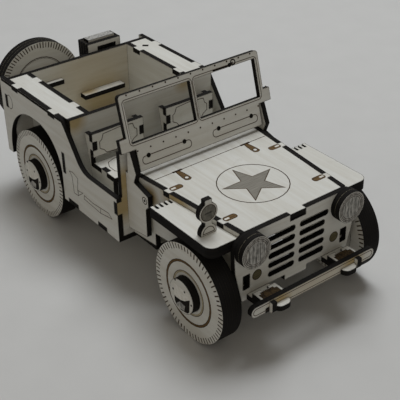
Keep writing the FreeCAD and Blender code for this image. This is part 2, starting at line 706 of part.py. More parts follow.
# Front seats: tabs of two upright frames pass through the pan and the back.
seat_right = w.seat_inset - w.tub_half
seat_left = seat_right + w.seat_width
seat_back_rear = bulkhead_front + w.seat_ahead
seat_back_front = seat_back_rear + w.plate
seat_front = seat_back_front + w.seat_depth
pan_bottom = deck_top + w.pan_above
pan_top = pan_bottom + w.plate
back_bottom = pan_top + w.back_above
back_top = back_bottom + w.back_height
back_tab_low = back_bottom + w.back_tab_above
back_tab_high = back_tab_low + w.back_tab
seat_back = plate("seat_back_right", "YZ", seat_back_rear, [
    ("loop", [
        (seat_right, back_bottom), (seat_left, back_bottom),
        (seat_left, back_tab_low), (seat_left - w.plate, back_tab_low),
        (seat_left - w.plate, back_tab_high), (seat_left, back_tab_high),
        (seat_left, back_top), (seat_right, back_top),
        (seat_right, back_tab_high), (seat_right + w.plate, back_tab_high),
        (seat_right + w.plate, back_tab_low), (seat_right, back_tab_low),
    ]),
])
nodes.append(pair("seat_backs", seat_back))

pan_tab_rear = seat_back_front + w.pan_tab_ahead
pan_tab_front = pan_tab_rear + w.pan_tab
seat_pan = plate("seat_pan_right", "XY", pan_bottom, [
    ("loop", [
        (seat_back_front, seat_right), (pan_tab_rear, seat_right),
        (pan_tab_rear, seat_right + w.plate), (pan_tab_front, seat_right + w.plate),
        (pan_tab_front, seat_right), (seat_front, seat_right), (seat_front, seat_left),
        (pan_tab_front, seat_left), (pan_tab_front, seat_left - w.plate),
        (pan_tab_rear, seat_left - w.plate), (pan_tab_rear, seat_left), (seat_back_front, seat_left),
    ]),
])
nodes.append(pair("seat_pans", seat_pan))

frame_rear = seat_back_rear - w.frame_behind
frame_front = seat_front - w.frame_inset
frame_top = back_top - w.frame_below
frame_outline = ("loop", [
    (frame_rear + w.frame_lean, deck_top), (frame_front, deck_top), (frame_front, pan_bottom),
    (pan_tab_front, pan_bottom), (pan_tab_front, pan_top), (pan_tab_rear, pan_top),
    (pan_tab_rear, pan_bottom), (seat_back_rear, pan_bottom), (seat_back_rear, back_tab_low),
    (seat_back_front, back_tab_low), (seat_back_front, back_tab_high),
    (seat_back_rear, back_tab_high), (seat_back_rear, frame_top), (frame_rear, frame_top),
])
outer_frame = plate("seat_frame_outer", "XZ", seat_right, [frame_outline])
inner_frame = plate("seat_frame_inner", "XZ", seat_left - w.plate, [frame_outline])
nodes.append(group("seat_frames", [
    outer_frame, inner_frame,
    mirrored("seat_frame_outer_twin", outer_frame), mirrored("seat_frame_inner_twin", inner_frame),
]))

# Firewall across the tub, and the cowl sides that hold the windscreen.
horn_outer = w.tub_half - w.horn_inset
horn_top = bonnet_top + w.horn
firewall = plate("firewall", "YZ", fire_rear, [
    both_sides([
        (side_inner, deck_top), (side_inner, fire_tab_low), (w.tub_half, fire_tab_low),
        (w.tub_half, fire_tab_high), (side_inner, fire_tab_high), (side_inner, sill_top),
        (horn_outer, sill_top), (horn_outer, horn_top), (cowl_inner, horn_top),
        (cowl_inner, bonnet_top),
    ]),
])
nodes.append(firewall)

screen_x = tub_front + w.screen_ahead
screen_z = bonnet_top + w.screen_above
ear_low = w.screen_sill - w.ear_below
ear_front = (screen_x - ear_low * sine(w.screen_rake), screen_z + ear_low * cosine(w.screen_rake))
ear_back = (ear_front[0] - w.plate * cosine(w.screen_rake), ear_front[1] - w.plate * sine(w.screen_rake))
cowl_foot = bonnet_top - w.cowl_foot
cowl_front = tub_front + w.cowl_depth
cowl = plate("cowl_right", "XZ", -cowl_inner - w.plate, [
    ("loop", [
        (tub_front, cowl_foot), (cowl_front, cowl_foot + w.cowl_foot_rise),
        (cowl_front, bonnet_top - w.knuckle_low),
        (cowl_front + w.knuckle, bonnet_top - w.knuckle_low + w.knuckle),
        (cowl_front + w.knuckle, bonnet_top - w.knuckle_high),
        (tub_front + w.neck, bonnet_top - w.neck_below),
        (tub_front + w.brow, bonnet_top + w.brow_above), ear_front, ear_back,
        (tub_front + w.cowl_back, bonnet_top + w.cowl_step), (tub_front, bonnet_top + w.cowl_step),
    ]),
])
nodes += [cowl, mirrored("cowl_left", cowl)]

# Windscreen: one raked plate with two panes; its ears rest on the cowl sides.
screen_half = cowl_inner + w.screen_over
pane_outer = screen_half - w.screen_stile
pane_inner = w.screen_post / 2
pane_top = w.screen_sill + w.screen_pane
screen_top = pane_top + w.screen_bar
ear_outer = screen_half + w.ear
tongue_half = cowl_inner - w.screen_gap
ear_high = ear_low + w.ear_height
screen = new_body("windscreen")
pad(screen, "YZ", -w.plate, w.plate, [
    both_sides([
        (tongue_half, size(0)), (tongue_half, ear_low), (ear_outer, ear_low), (ear_outer, ear_high),
        (screen_half, ear_high), (screen_half, screen_top),
    ]),
    box_of(pane_inner, pane_outer, w.screen_sill, pane_top),
    box_of(-pane_outer, -pane_inner, w.screen_sill, pane_top),
])
round_corners(screen, "YZ", [(screen_half, screen_top), (-screen_half, screen_top)], w.screen_round)
screen.Placement.Rotation = FreeCAD.Rotation(FreeCAD.Vector(0, -1, 0), w.screen_rake.value)
screen.setExpression("Placement.Rotation.Angle", "Sizes.screen_rake * 1 deg")
bind(screen, "Placement.Base.x", centring + screen_x)
bind(screen, "Placement.Base.z", screen_z)
nodes.append(screen)

# Bonnet between the engine sides; both taper to the grille.
taper = w.bonnet_taper / grille_rear


def bonnet_edge(x):
    """Half width of the bonnet at a distance from its hinge line."""
    return bonnet_half - taper * x


def engine_face(x):
    """Outer face of an engine side at that distance."""
    return bonnet_edge(x) + w.plate


def side_tab(start):
    """Outline of one side tab of the bonnet, rear corner first."""
    end = start + w.bonnet_tab
    return [(start, bonnet_edge(start)), (start, engine_face(start)),
            (end, engine_face(end)), (end, bonnet_edge(end))]


tab_rear = tub_front + w.bonnet_tab_rear
tab_front = grille_rear - w.bonnet_tab_front - w.bonnet_tab
nose_half = w.nose_tab / 2
bonnet = plate("bonnet", "XY", bonnet_bottom, [
    both_flanks([(tub_front, bonnet_edge(tub_front))] + side_tab(tab_rear) + side_tab(tab_front) + [
        (grille_rear, bonnet_edge(grille_rear)), (grille_rear, nose_half), (grille_face, nose_half),
    ]),
])
nodes.append(bonnet)

engine_side = new_body("engine_side_right")
pad(engine_side, "XY", deck_top, bonnet_top - deck_top, [
    ("loop", [
        (tub_front, -bonnet_edge(tub_front)), (tub_front, -engine_face(tub_front)),
        (grille_rear, -engine_face(grille_rear)), (grille_rear, -bonnet_edge(grille_rear)),
    ]),
])
side_low = rail_top - w.engine_side_over
pocket(engine_side, "XZ", -w.tub_half, w.tub_half, [
    box_of(tab_rear, tab_rear + w.bonnet_tab, bonnet_bottom, tub_top),
    box_of(tab_front, tab_front + w.bonnet_tab, bonnet_bottom, tub_top),
    box_of(deck_front, grille_face, deck_bottom, side_low),
])
nodes += [engine_side, mirrored("engine_side_left", engine_side)]

# Grille: two columns of slots, vents below the lamps of two layers.
lamp_layers = 2
lamp_y = grille_half - w.lamp_edge
lamp_z = bonnet_top - w.lamp_below
slot_inner = w.slot_gap / 2
slot_rows = 5
slot_first = grille_bottom + w.slot_foot
slot_pitch = (bonnet_top - w.slot_head - slot_first) / (slot_rows - 1)
openings = []
for step in range(slot_rows):
    height = slot_first + step * slot_pitch
    outer = slot_inner + w.slot_length
    if step == slot_rows - 1:
        outer = outer + w.slot_extra
    openings.append(("slot", slot_inner, outer, height, w.slot_height))
    openings.append(("slot", -outer, -slot_inner, height, w.slot_height))
vent_outer = grille_half - w.vent_edge
vent_inner = vent_outer - w.vent_width
vent_low = grille_bottom + w.vent_foot
vent_high = vent_low + w.vent_height
openings.append(box_of(vent_inner, vent_outer, vent_low, vent_high))
openings.append(box_of(-vent_outer, -vent_inner, vent_low, vent_high))
foot_outer = grille_half - w.grille_foot_inset
foot_inner = foot_outer - w.grille_foot_width
mid_tab = w.grille_tab_width / 2
grille = plate("grille", "YZ", grille_rear, [
    both_sides([
        (mid_tab, grille_bottom - w.grille_tab), (mid_tab, grille_bottom), (foot_inner, grille_bottom),
        (foot_inner, grille_bottom - w.grille_foot), (foot_outer, grille_bottom - w.grille_foot),
        (grille_half - w.grille_waist_inset, grille_bottom + w.grille_waist), (grille_half, lamp_z),
        (grille_half, bonnet_top), (nose_half, bonnet_top), (nose_half, bonnet_bottom - w.nose_gap),
    ]),
] + openings)
round_corners(grille, "YZ", [(grille_half, bonnet_top), (-grille_half, bonnet_top)], w.grille_round)
nodes.append(grille)

headlamp = plate("headlamp_right", "YZ", grille_face, [
    ("ring", -lamp_y, lamp_z, w.lamp_radius),
], thick=lamp_layers * w.plate)
nodes.append(pair("headlamps", headlamp))

# Fenders: flat top plates with a strip below their outer and front edges.
fender_rear = w.front_axle - w.fender_behind
fender_front = w.front_axle + w.fender_ahead
comb = []
for step in range(4):
    start = w.comb_inset + step * (w.comb_width + w.comb_tooth) - w.tub_half
    end = start + w.comb_width
    deep = fender_rear + w.comb_depth
    comb += [(fender_rear, start), (deep, start), (deep, end), (fender_rear, end)]
fender_corner = (fender_front, -w.tub_half)
fender = plate("fender_right", "XY", fender_bottom, [
    ("loop", [(fender_rear, -w.tub_half)] + comb + [
        (fender_rear, -engine_face(fender_rear)), (fender_front, -engine_face(fender_front)),
        fender_corner,
    ]),
])
round_corners(fender, "XY", [fender_corner], w.fender_round)
nodes += [fender, mirrored("fender_left", fender)]

lip_inner = w.tub_half - w.lip_width
lip_rear = fender_front - w.lip_width
lip = plate("lip_right", "XY", fender_bottom - w.plate, [
    ("loop", [
        (fender_rear, -w.tub_half), (fender_rear, -lip_inner), (lip_rear, -lip_inner),
        (lip_rear, -engine_face(lip_rear)), (fender_front, -engine_face(fender_front)),
        fender_corner,
    ]),
])
round_corners(lip, "XY", [fender_corner], w.fender_round)
nodes.append(pair("fender_lips", lip))

# Marker lamp on the right fender: half-round foot, neck, disc and lug in one plate.
marker_x = w.front_axle + w.marker_ahead
marker_y = w.marker_inset - w.tub_half
marker_z = fender_top + w.marker_above
marker_foot_z = fender_top + w.marker_foot_height - w.marker_foot
lug_top = marker_z + w.marker_radius + w.marker_lug
marker = new_body("marker_lamp")
pad(marker, "YZ", marker_x, w.plate, [("ring", marker_y, marker_foot_z, w.marker_foot)])
pocket(marker, "YZ", marker_x, w.plate, [
    box_of(-w.tub_half, size(0), axle_z, fender_top),
])
pad(marker, "YZ", marker_x, w.plate, [
    box_of(marker_y - w.marker_neck / 2, marker_y + w.marker_neck / 2, fender_top, lug_top),
])
pad(marker, "YZ", marker_x, w.plate, [("ring", marker_y, marker_z, w.marker_radius)])
nodes.append(marker)

# Bumper, notched for the lower shackle plates that stand on the rails' noses.
shackle_top = nose_top + w.plate
bumper_bottom = nose_top + w.bumper_above
bumper_top = bumper_bottom + w.bumper_height
bumper = plate("bumper", "YZ", bumper_rear, [
    both_sides([
        (shackle_inner, bumper_bottom), (shackle_inner, shackle_top), (shackle_outer, shackle_top),
        (shackle_outer, bumper_bottom), (bumper_half, bumper_bottom), (bumper_half, bumper_top),
    ]),
])
round_corners(bumper, "YZ", [
    (-bumper_half, bumper_bottom), (bumper_half, bumper_bottom),
    (-bumper_half, bumper_top), (bumper_half, bumper_top),
], w.plate)
nodes.append(bumper)

# Shackles: a long plate with a round nose, a short one on it, and a cheek in front.
cheek_right = w.cheek_inset - shackle_outer
cheek_left = cheek_right + w.plate
shackle_low = plate("shackle_low", "XY", nose_top, [
    ("loop", [
        (grille_face, -shackle_outer), (bumper_front, -shackle_outer), (bumper_front, cheek_left),
        (shackle_nose, cheek_left), (shackle_nose, -shackle_inner), (grille_face, -shackle_inner),
    ]),
])
round_corners(shackle_low, "XY", [
    (shackle_nose, cheek_left), (shackle_nose, -shackle_inner),
], w.shackle_nose * 0.9)
nodes.append(pair("shackle_plates_low", shackle_low))

shackle_rear = grille_face + w.shackle_setback
notch_middle = (shackle_outer + shackle_inner) / -2
notch_right = notch_middle - w.shackle_notch / 2
notch_left = notch_middle + w.shackle_notch / 2
notch_end = shackle_rear + w.shackle_notch_deep
shackle_high = plate("shackle_high", "XY", shackle_top, [
    ("loop", [
        (shackle_rear, -shackle_outer), (bumper_rear, -shackle_outer), (bumper_rear, -shackle_inner),
        (shackle_rear, -shackle_inner), (shackle_rear, notch_left), (notch_end, notch_left),
        (notch_end, notch_right), (shackle_rear, notch_right),
    ]),
])
nodes.append(pair("shackle_plates_high", shackle_high))

cheek_front = bumper_front + w.cheek_reach
cheek_bottom = nose_top - w.cheek_below
cheek = plate("shackle_cheek_right", "XZ", cheek_right, [
    box_of(bumper_front, cheek_front, cheek_bottom, shackle_top + w.cheek_above),
])
round_corners(cheek, "XZ", [(cheek_front, cheek_bottom)], w.cheek_round)
nodes.append(pair("shackle_cheeks", cheek))

# Axles: a round rod with square ends that fill the wheels' openings.
wheel_layers = 4
wheel_width = wheel_layers * w.plate
wheel_inner = wheel_face - wheel_width


def axle_rod(label, x):
    """Rod with its two square ends, one solid."""
    body = new_body(label)
    pad(body, "XZ", -wheel_inner, 2 * wheel_inner, [("ring", x, axle_z, w.rod_radius)])
    square = box_of(x - half_opening, x + half_opening, axle_z - half_opening, axle_z + half_opening)
    pad(body, "XZ", -wheel_face, wheel_width, [square])
    pad(body, "XZ", wheel_inner, wheel_width, [square])
    return body


def wheel(name, x):
    """Tyre and rim on the right side, with their twins on the left."""
    tyre = plate("%s_tyre_right" % name, "XZ", -wheel_face, [
        ("ring", x, axle_z, w.wheel_radius), ("ring", x, axle_z, rim_radius),
    ], thick=wheel_width)
    rim = new_body("%s_rim_right" % name)
    pad(rim, "XZ", -wheel_face, wheel_width, [("ring", x, axle_z, rim_radius)])
    pad(rim, "XZ", -wheel_face - w.hub_proud, w.hub_proud, [("ring", x, axle_z, w.hub_radius)])
    square = box_of(x - half_opening, x + half_opening, axle_z - half_opening, axle_z + half_opening)
    pocket(rim, "XZ", -wheel_face - w.hub_proud, wheel_width + w.hub_proud, [square])
    return [tyre, mirrored("%s_tyre_left" % name, tyre), rim, mirrored("%s_rim_left" % name, rim)]


nodes.append(axle_rod("front_axle_rod", w.front_axle))
nodes += wheel("front", w.front_axle)
nodes.append(axle_rod("rear_axle_rod", rear_axle))
nodes += wheel("rear", rear_axle)

doc.recompute()

for thing in doc.Objects:
    if "Invalid" in thing.State or "Error" in thing.State:
        raise RuntimeError("%s did not recompute: %s" % (thing.Label, thing.State))
for node in nodes:
    if node.Shape.isNull() or not node.Shape.isValid():
        raise RuntimeError("%s has no valid shape" % node.Label)

os.makedirs("parts", exist_ok=True)
for node in nodes:
    node.Shape.exportStep("parts/%s.step" % node.Label)
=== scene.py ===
# %% [markdown]
# A toy army 4x4 cut from thin birch plywood. The CAD model brings every plate at its
# real size, so this file gives the plates their look: pale birch faces, cut edges that
# the laser has charred, and the fine lines that it has drawn on the wood.

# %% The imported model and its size
import math

import bmesh
import bpy
from mathutils import Matrix, Vector


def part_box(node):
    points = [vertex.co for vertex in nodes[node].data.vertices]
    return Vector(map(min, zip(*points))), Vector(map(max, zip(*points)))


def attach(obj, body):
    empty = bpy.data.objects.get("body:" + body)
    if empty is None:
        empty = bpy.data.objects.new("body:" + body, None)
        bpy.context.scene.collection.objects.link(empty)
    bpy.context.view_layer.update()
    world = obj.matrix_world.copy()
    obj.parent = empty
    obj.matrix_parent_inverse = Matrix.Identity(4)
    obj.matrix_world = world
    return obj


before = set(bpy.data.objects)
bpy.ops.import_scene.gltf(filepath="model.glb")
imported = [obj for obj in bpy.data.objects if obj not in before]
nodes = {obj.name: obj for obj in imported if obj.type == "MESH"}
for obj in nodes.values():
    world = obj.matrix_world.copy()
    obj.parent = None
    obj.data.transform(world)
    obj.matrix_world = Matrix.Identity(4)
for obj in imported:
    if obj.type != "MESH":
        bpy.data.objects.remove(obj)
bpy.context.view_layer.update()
MM = 0.001
print("nodes:", len(nodes))


# %% [markdown]
# The whole toy is drawn in millimetres and turned to metres in one place. A mark could
# be placed by numbers alone, but then it would float off when its plate changes. So
# places are read from the CAD plates themselves, and a mark stays on what carries it.

# %% Reading places from the plates
# Places along the car count from a line on the bonnet, this far ahead of its rear end.
BONNET_TAIL = 7.0


def corner_low(name):
    """Lowest corner of a CAD node, in millimetres."""
    return Vector(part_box(name)[0]) / MM


def corner_high(name):
    """Highest corner of a CAD node, in millimetres."""
    return Vector(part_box(name)[1]) / MM


def middle(name):
    """Middle of a CAD node's box, in millimetres."""
    return (corner_low(name) + corner_high(name)) / 2


def reach(name, way):
    """How far a CAD node reaches along a unit vector, in millimetres."""
    return max(corner.co.dot(Vector(way)) for corner in nodes[name].data.vertices) / MM


PLATE = (corner_high("floor_plate") - corner_low("floor_plate")).z
HINGE_X = corner_low("bonnet").x + BONNET_TAIL
FRONT_AXLE = middle("front_tyre_right")
REAR_AXLE = middle("rear_tyre_right")
print("plate", round(PLATE, 2), "mm, wheelbase", round(FRONT_AXLE.x - REAR_AXLE.x, 1), "mm")


# %% [markdown]
# Every material here is a small tree of nodes. One function adds a node, sets its
# options, and links or fills its inputs, which keeps each tree short enough to read.
# A Mix node has one set of sockets for each kind of data, and only numbers tell them
# apart, so the sockets that carry colour get names here.

# %% Adding one node
MIX_LOW, MIX_HIGH, MIX_RESULT = 6, 7, 2


def add(tree, kind, inputs=None, **settings):
    """Adds a node. An input takes a value, or the socket to link from."""
    made = tree.nodes.new(kind)
    for name, value in settings.items():
        setattr(made, name, value)
    for key, value in (inputs or {}).items():
        if isinstance(value, bpy.types.NodeSocket):
            tree.links.new(value, made.inputs[key])
        else:
            made.inputs[key].default_value = value
    return made


def linear(code):
    """A colour written as sRGB hex, turned to the linear values that nodes use."""
    parts = [int(code[i:i + 2], 16) / 255 for i in (1, 3, 5)]
    return [c / 12.92 if c <= 0.04045 else ((c + 0.055) / 1.055) ** 2.4 for c in parts] + [1.0]


def new_material(name):
    """An empty node material, and the tree to fill."""
    material = bpy.data.materials.new(name)
    material.use_nodes = True
    material.node_tree.nodes.clear()
    return material, material.node_tree


# %% [markdown]
# Wood is not one even colour. A picture of it would have to be wrapped round each plate
# by hand, and it would repeat. Noise needs no wrapping: a Mapping node stretches it until
# its patches have real widths and lengths, long along the grain and narrow across it.

# %% Patterns sized in millimetres
def sized_noise(tree, place, size, detail, **more):
    """Noise whose patches have the given sizes along X, Y and Z."""
    spread = add(tree, "ShaderNodeMapping", {
        "Vector": place.outputs["Object"], "Scale": [1 / (length * MM) for length in size],
    })
    noise = add(tree, "ShaderNodeTexNoise", {
        "Vector": spread.outputs[0], "Scale": 1.0, "Detail": detail, **more,
    })
    return noise.outputs[0]


def wood_noise(tree, place, across, along, grain, detail):
    """Wavering noise of one size across the grain and another along it."""
    size = [across] * 3
    size[grain] = along
    return sized_noise(tree, place, size, detail, Roughness=0.55, Distortion=0.6)


# %% [markdown]
# Birch is pale and matt. Peeled off the log as a thin sheet, it shows its growth rings as
# a soft wavy figure, and its cut pores as short fine strokes along the grain. Even bands
# could stand for both, but they look machine-made. Two layers of noise are uneven, as
# wood is, and each is held between two levels so that it stays faint.

# %% The bare face of the plywood
FIGURE_WIDTH, FIGURE_LENGTH = 4.0, 55.0
FIGURE_SHOWS = (0.35, 0.68)
PORE_WIDTH, PORE_LENGTH = 0.3, 3.5
PORE_SHOWS = (0.6, 0.78)
PORE_DEPTH = 0.45
BIRCH_PALE, BIRCH_DARK, BIRCH_PORE = "#d8d7d0", "#cecbc1", "#b9b4a7"


def bare_birch(tree, place, grain):
    """Pale wood with its figure, and short dark pores over it."""
    figure = add(tree, "ShaderNodeMapRange", {
        "Value": wood_noise(tree, place, FIGURE_WIDTH, FIGURE_LENGTH, grain, 3.0),
        "From Min": FIGURE_SHOWS[0], "From Max": FIGURE_SHOWS[1],
    }).outputs[0]
    face = add(tree, "ShaderNodeMix", {
        0: figure, MIX_LOW: linear(BIRCH_PALE), MIX_HIGH: linear(BIRCH_DARK),
    }, data_type="RGBA").outputs[MIX_RESULT]
    pores = add(tree, "ShaderNodeMapRange", {
        "Value": wood_noise(tree, place, PORE_WIDTH, PORE_LENGTH, grain, 2.0),
        "From Min": PORE_SHOWS[0], "From Max": PORE_SHOWS[1], "To Max": PORE_DEPTH,
    }).outputs[0]
    return add(tree, "ShaderNodeMix", {0: pores, MIX_LOW: face, MIX_HIGH: linear(BIRCH_PORE)},
               data_type="RGBA").outputs[MIX_RESULT]


# %% [markdown]
# A soft ochre spot lies here and there, on one side of the plate only. On the bumper it
# is painted reflection and shade from the brown shackle plates, on the engine's right
# side painted light, and elsewhere an ochre tint. A spot could be painted by hand, but the
# distance from one point already fades as a spot should. The depth in the plate tells
# which side a point lies on, and it also says where the layers of a stack meet.

# %% Ochre spots, and the depth in the plate
OCHRE = "#a98c3e"
SPOT_CORE = 0.3
MID_DEPTH = 0.5


def depth_in_plate(tree, place, across, level):
    """How far a point lies above the plate's lower face, counted in plates."""
    depth = add(tree, "ShaderNodeVectorMath", {0: place.outputs["Object"], 1: across},
                operation="DOT_PRODUCT").outputs["Value"]
    depth = add(tree, "ShaderNodeMath", {0: depth, 1: level * MM}, operation="SUBTRACT").outputs[0]
    return add(tree, "ShaderNodeMath", {0: depth, 1: 1 / (PLATE * MM)}, operation="MULTIPLY").outputs[0]


def ochre_spotted(tree, face, place, depth, ochre_spots):
    """The face with its ochre spots, each a centre, a radius and a strength."""
    upper = add(tree, "ShaderNodeMath", {0: depth, 1: MID_DEPTH}, operation="GREATER_THAN").outputs[0]
    # Each spot mixes in ochre: painted reflection and shade on the bumper, painted light on the engine's
    # right side, an ochre tint elsewhere.
    for centre, radius, strength in ochre_spots:
        away = add(tree, "ShaderNodeVectorMath", {0: place.outputs["Object"], 1: Vector(centre) * MM},
                   operation="DISTANCE").outputs["Value"]
        near = add(tree, "ShaderNodeMapRange", {
            "Value": away, "From Min": radius * MM, "From Max": radius * MM * SPOT_CORE,
            "To Max": strength,
        }).outputs[0]
        near = add(tree, "ShaderNodeMath", {0: near, 1: upper}, operation="MULTIPLY").outputs[0]
        face = add(tree, "ShaderNodeMix", {0: near, MIX_LOW: face, MIX_HIGH: linear(OCHRE)},
                   data_type="RGBA").outputs[MIX_RESULT]
    return face


# %% [markdown]
# Beside a cut, the face has a narrow rim of soot and then a brown haze that fades. It
# could be drawn along every outline, but the Bevel node finds it by itself: near an edge
# it returns a rounded normal, and the more that leans away from the true one, the nearer
# the cut is. A slow noise makes the rim wander, as smoke does.

# %% Soot and haze beside a cut
SCORCH_REACH = 1.0
TYRE_SCORCH_REACH = 0.35
BEVEL_SAMPLES = 6
SOOT_PATCH = 6.0
SOOT_WANDER = 0.10
# The haze and the rim start, and are full, at these cosines of the normal's lean.
HAZE_STARTS, HAZE_FULL, HAZE_DEPTH = 0.985, 0.86, 0.75
RIM_STARTS, RIM_FULL = 0.92, 0.87
SCORCH_BROWN, SOOT = "#7a6242", "#15110c"


def scorched(tree, face, place, grain, scorch):
    """The face with brown haze and a rim of soot beside its cuts."""
    rounded = add(tree, "ShaderNodeBevel", {"Radius": scorch * MM}, samples=BEVEL_SAMPLES)
    true_normal = add(tree, "ShaderNodeNewGeometry").outputs["True Normal"]
    bend = add(tree, "ShaderNodeVectorMath", {0: rounded.outputs[0], 1: true_normal},
               operation="DOT_PRODUCT").outputs["Value"]
    patchy = wood_noise(tree, place, SOOT_PATCH, SOOT_PATCH, grain, 2.0)
    patchy = add(tree, "ShaderNodeMath", {0: patchy, 1: SOOT_WANDER, 2: -SOOT_WANDER / 2},
                 operation="MULTIPLY_ADD").outputs[0]
    bend = add(tree, "ShaderNodeMath", {0: bend, 1: patchy}, operation="ADD").outputs[0]
    haze = add(tree, "ShaderNodeMapRange", {
        "Value": bend, "From Min": HAZE_STARTS, "From Max": HAZE_FULL, "To Max": HAZE_DEPTH,
    }).outputs[0]
    face = add(tree, "ShaderNodeMix", {0: haze, MIX_LOW: face, MIX_HIGH: linear(SCORCH_BROWN)},
               data_type="RGBA").outputs[MIX_RESULT]
    rim = add(tree, "ShaderNodeMapRange", {
        "Value": bend, "From Min": RIM_STARTS, "From Max": RIM_FULL,
    }).outputs[0]
    return add(tree, "ShaderNodeMix", {0: rim, MIX_LOW: face, MIX_HIGH: linear(SOOT)},
               data_type="RGBA").outputs[MIX_RESULT]


# %% [markdown]
# The cut edge itself is charred nearly black, and its middle veneer shows a little
# lighter in streaks. A stack of plates has a thin worn line where two of them meet. All
# of it follows the depth in the plate, so no edge needs a drawing of its own.

# %% The charred edge
CHAR, CHAR_VENEER = "#0c0a08", "#191410"
VENEER_MIDDLE, VENEER_HALF = 0.5, 0.17
STREAK = 0.5
SEAM = 0.16
SEAM_WORN = (0.4, 0.55)
SEAM_PALE, SEAM_DARK = "#928974", "#332a1f"


def charred_edge(tree, place, grain, depth, layers, seam_tone):
    """The edge's char, its middle veneer, and the lines between glued plates."""
    ply = add(tree, "ShaderNodeMath", {0: depth, 1: 1.0}, operation="PINGPONG").outputs[0]
    inside = add(tree, "ShaderNodeMath", {0: ply, 1: VENEER_MIDDLE, 2: VENEER_HALF},
                 operation="COMPARE").outputs[0]
    streaks = wood_noise(tree, place, STREAK, STREAK, grain, 2.0)
    veneer = add(tree, "ShaderNodeMath", {0: inside, 1: streaks}, operation="MULTIPLY").outputs[0]
    edge = add(tree, "ShaderNodeMix", {
        0: veneer, MIX_LOW: linear(CHAR), MIX_HIGH: linear(CHAR_VENEER),
    }, data_type="RGBA").outputs[MIX_RESULT]
    for joint in range(1, layers):
        seam = add(tree, "ShaderNodeMath", {0: depth, 1: float(joint), 2: SEAM / PLATE / 2},
                   operation="COMPARE").outputs[0]
        worn = add(tree, "ShaderNodeMapRange", {
            "Value": streaks, "From Min": SEAM_WORN[0], "From Max": SEAM_WORN[1],
        }).outputs[0]
        seam = add(tree, "ShaderNodeMath", {0: seam, 1: worn}, operation="MULTIPLY").outputs[0]
        edge = add(tree, "ShaderNodeMix", {0: seam, MIX_LOW: edge, MIX_HIGH: linear(seam_tone)},
                   data_type="RGBA").outputs[MIX_RESULT]
    return edge


# %% [markdown]
# Laser-cut birch plywood gives the eye a satin pale face and a dull black edge. Two
# materials could be given face by face, but the plates' meshes come from CAD and stay
# untouched. So one tree does both: it knows the direction across the plate, and a surface
# that looks that way is a face, while any other is a cut edge.

# %% Laser-cut birch plywood
# A surface that looks within about 26 degrees of the direction across is a face.
FACE_COSINE = 0.9
EDGE_ROUGH, FACE_ROUGH = 0.9, 0.62
PORE_RELIEF = 0.06


def birch_plywood(name, across, level, grain, layers=1, ochre_spots=(), seam_tone=SEAM_PALE,
                  scorch=SCORCH_REACH):
    """Plate with the unit vector across it, its lower face's level and its grain axis."""
    material, tree = new_material(name)
    place = add(tree, "ShaderNodeTexCoord")
    across = Vector(across).normalized()
    looks = add(tree, "ShaderNodeVectorMath", {0: place.outputs["Normal"], 1: across},
                operation="DOT_PRODUCT").outputs["Value"]
    looks = add(tree, "ShaderNodeMath", {0: looks}, operation="ABSOLUTE").outputs[0]
    is_face = add(tree, "ShaderNodeMath", {0: looks, 1: FACE_COSINE}, operation="GREATER_THAN").outputs[0]
    depth = depth_in_plate(tree, place, across, level)
    face = bare_birch(tree, place, grain)
    face = ochre_spotted(tree, face, place, depth, ochre_spots)
    face = scorched(tree, face, place, grain, scorch)
    edge = charred_edge(tree, place, grain, depth, layers, seam_tone)
    colour = add(tree, "ShaderNodeMix", {0: is_face, MIX_LOW: edge, MIX_HIGH: face}, data_type="RGBA")
    rough = add(tree, "ShaderNodeMapRange", {"Value": is_face, "To Min": EDGE_ROUGH, "To Max": FACE_ROUGH})
    relief = add(tree, "ShaderNodeBump", {
        "Height": wood_noise(tree, place, PORE_WIDTH, PORE_LENGTH, grain, 2.0), "Strength": 0.25,
        "Distance": PORE_RELIEF * MM,
    })
    surface = add(tree, "ShaderNodeBsdfPrincipled", {
        "Base Color": colour.outputs[MIX_RESULT], "Roughness": rough.outputs[0], "IOR": 1.5,
        "Specular IOR Level": 0.25, "Normal": relief.outputs[0],
    })
    add(tree, "ShaderNodeOutputMaterial", {0: surface.outputs[0]})
    return material


# %% [markdown]
# Each CAD node is one kind of plate: lying flat, standing along the car, or standing
# across it. Each could get its material by itself, but nearly fifty lines would say much
# the same. So a list tells which way each lies, and one loop dresses them all. Wheels,
# headlamps and the fuel can are layers glued in a stack, and a thin line shows where two
# of them meet, darker on the road wheels. Tyres have a narrower rim of soot than the rest.

# %% Which way each plate lies
FLAT, ALONG, CROSS = (0, 0, 1), (0, 1, 0), (1, 0, 0)
LIES = {
    FLAT: ("floor_plate", "cargo_floor", "shelf_right", "shelf_left", "spare_bracket", "can_tray",
           "seat_pans", "bonnet", "fender_right", "fender_left", "fender_lips",
           "shackle_plates_low", "shackle_plates_high"),
    ALONG: ("rail_right", "rail_left", "tub_side_right", "tub_side_left", "arch_panel_right",
            "arch_panel_left", "seat_frames", "shackle_cheeks", "cowl_right", "cowl_left",
            "front_tyre_right", "front_tyre_left", "front_rim_right", "front_rim_left",
            "rear_tyre_right", "rear_tyre_left", "rear_rim_right", "rear_rim_left",
            "front_axle_rod", "rear_axle_rod"),
    CROSS: ("well_walls", "bulkhead", "tailgate", "spare_tyre", "spare_rim", "fuel_can",
            "seat_backs", "firewall", "grille", "headlamps", "marker_lamp", "bumper"),
}
GRAIN = {FLAT: 0, ALONG: 0, CROSS: 1}
STACKED = {"tyre": 4, "rim": 4, "fuel_can": 4, "headlamps": 2}
print("plates:", sum(len(members) for members in LIES.values()))
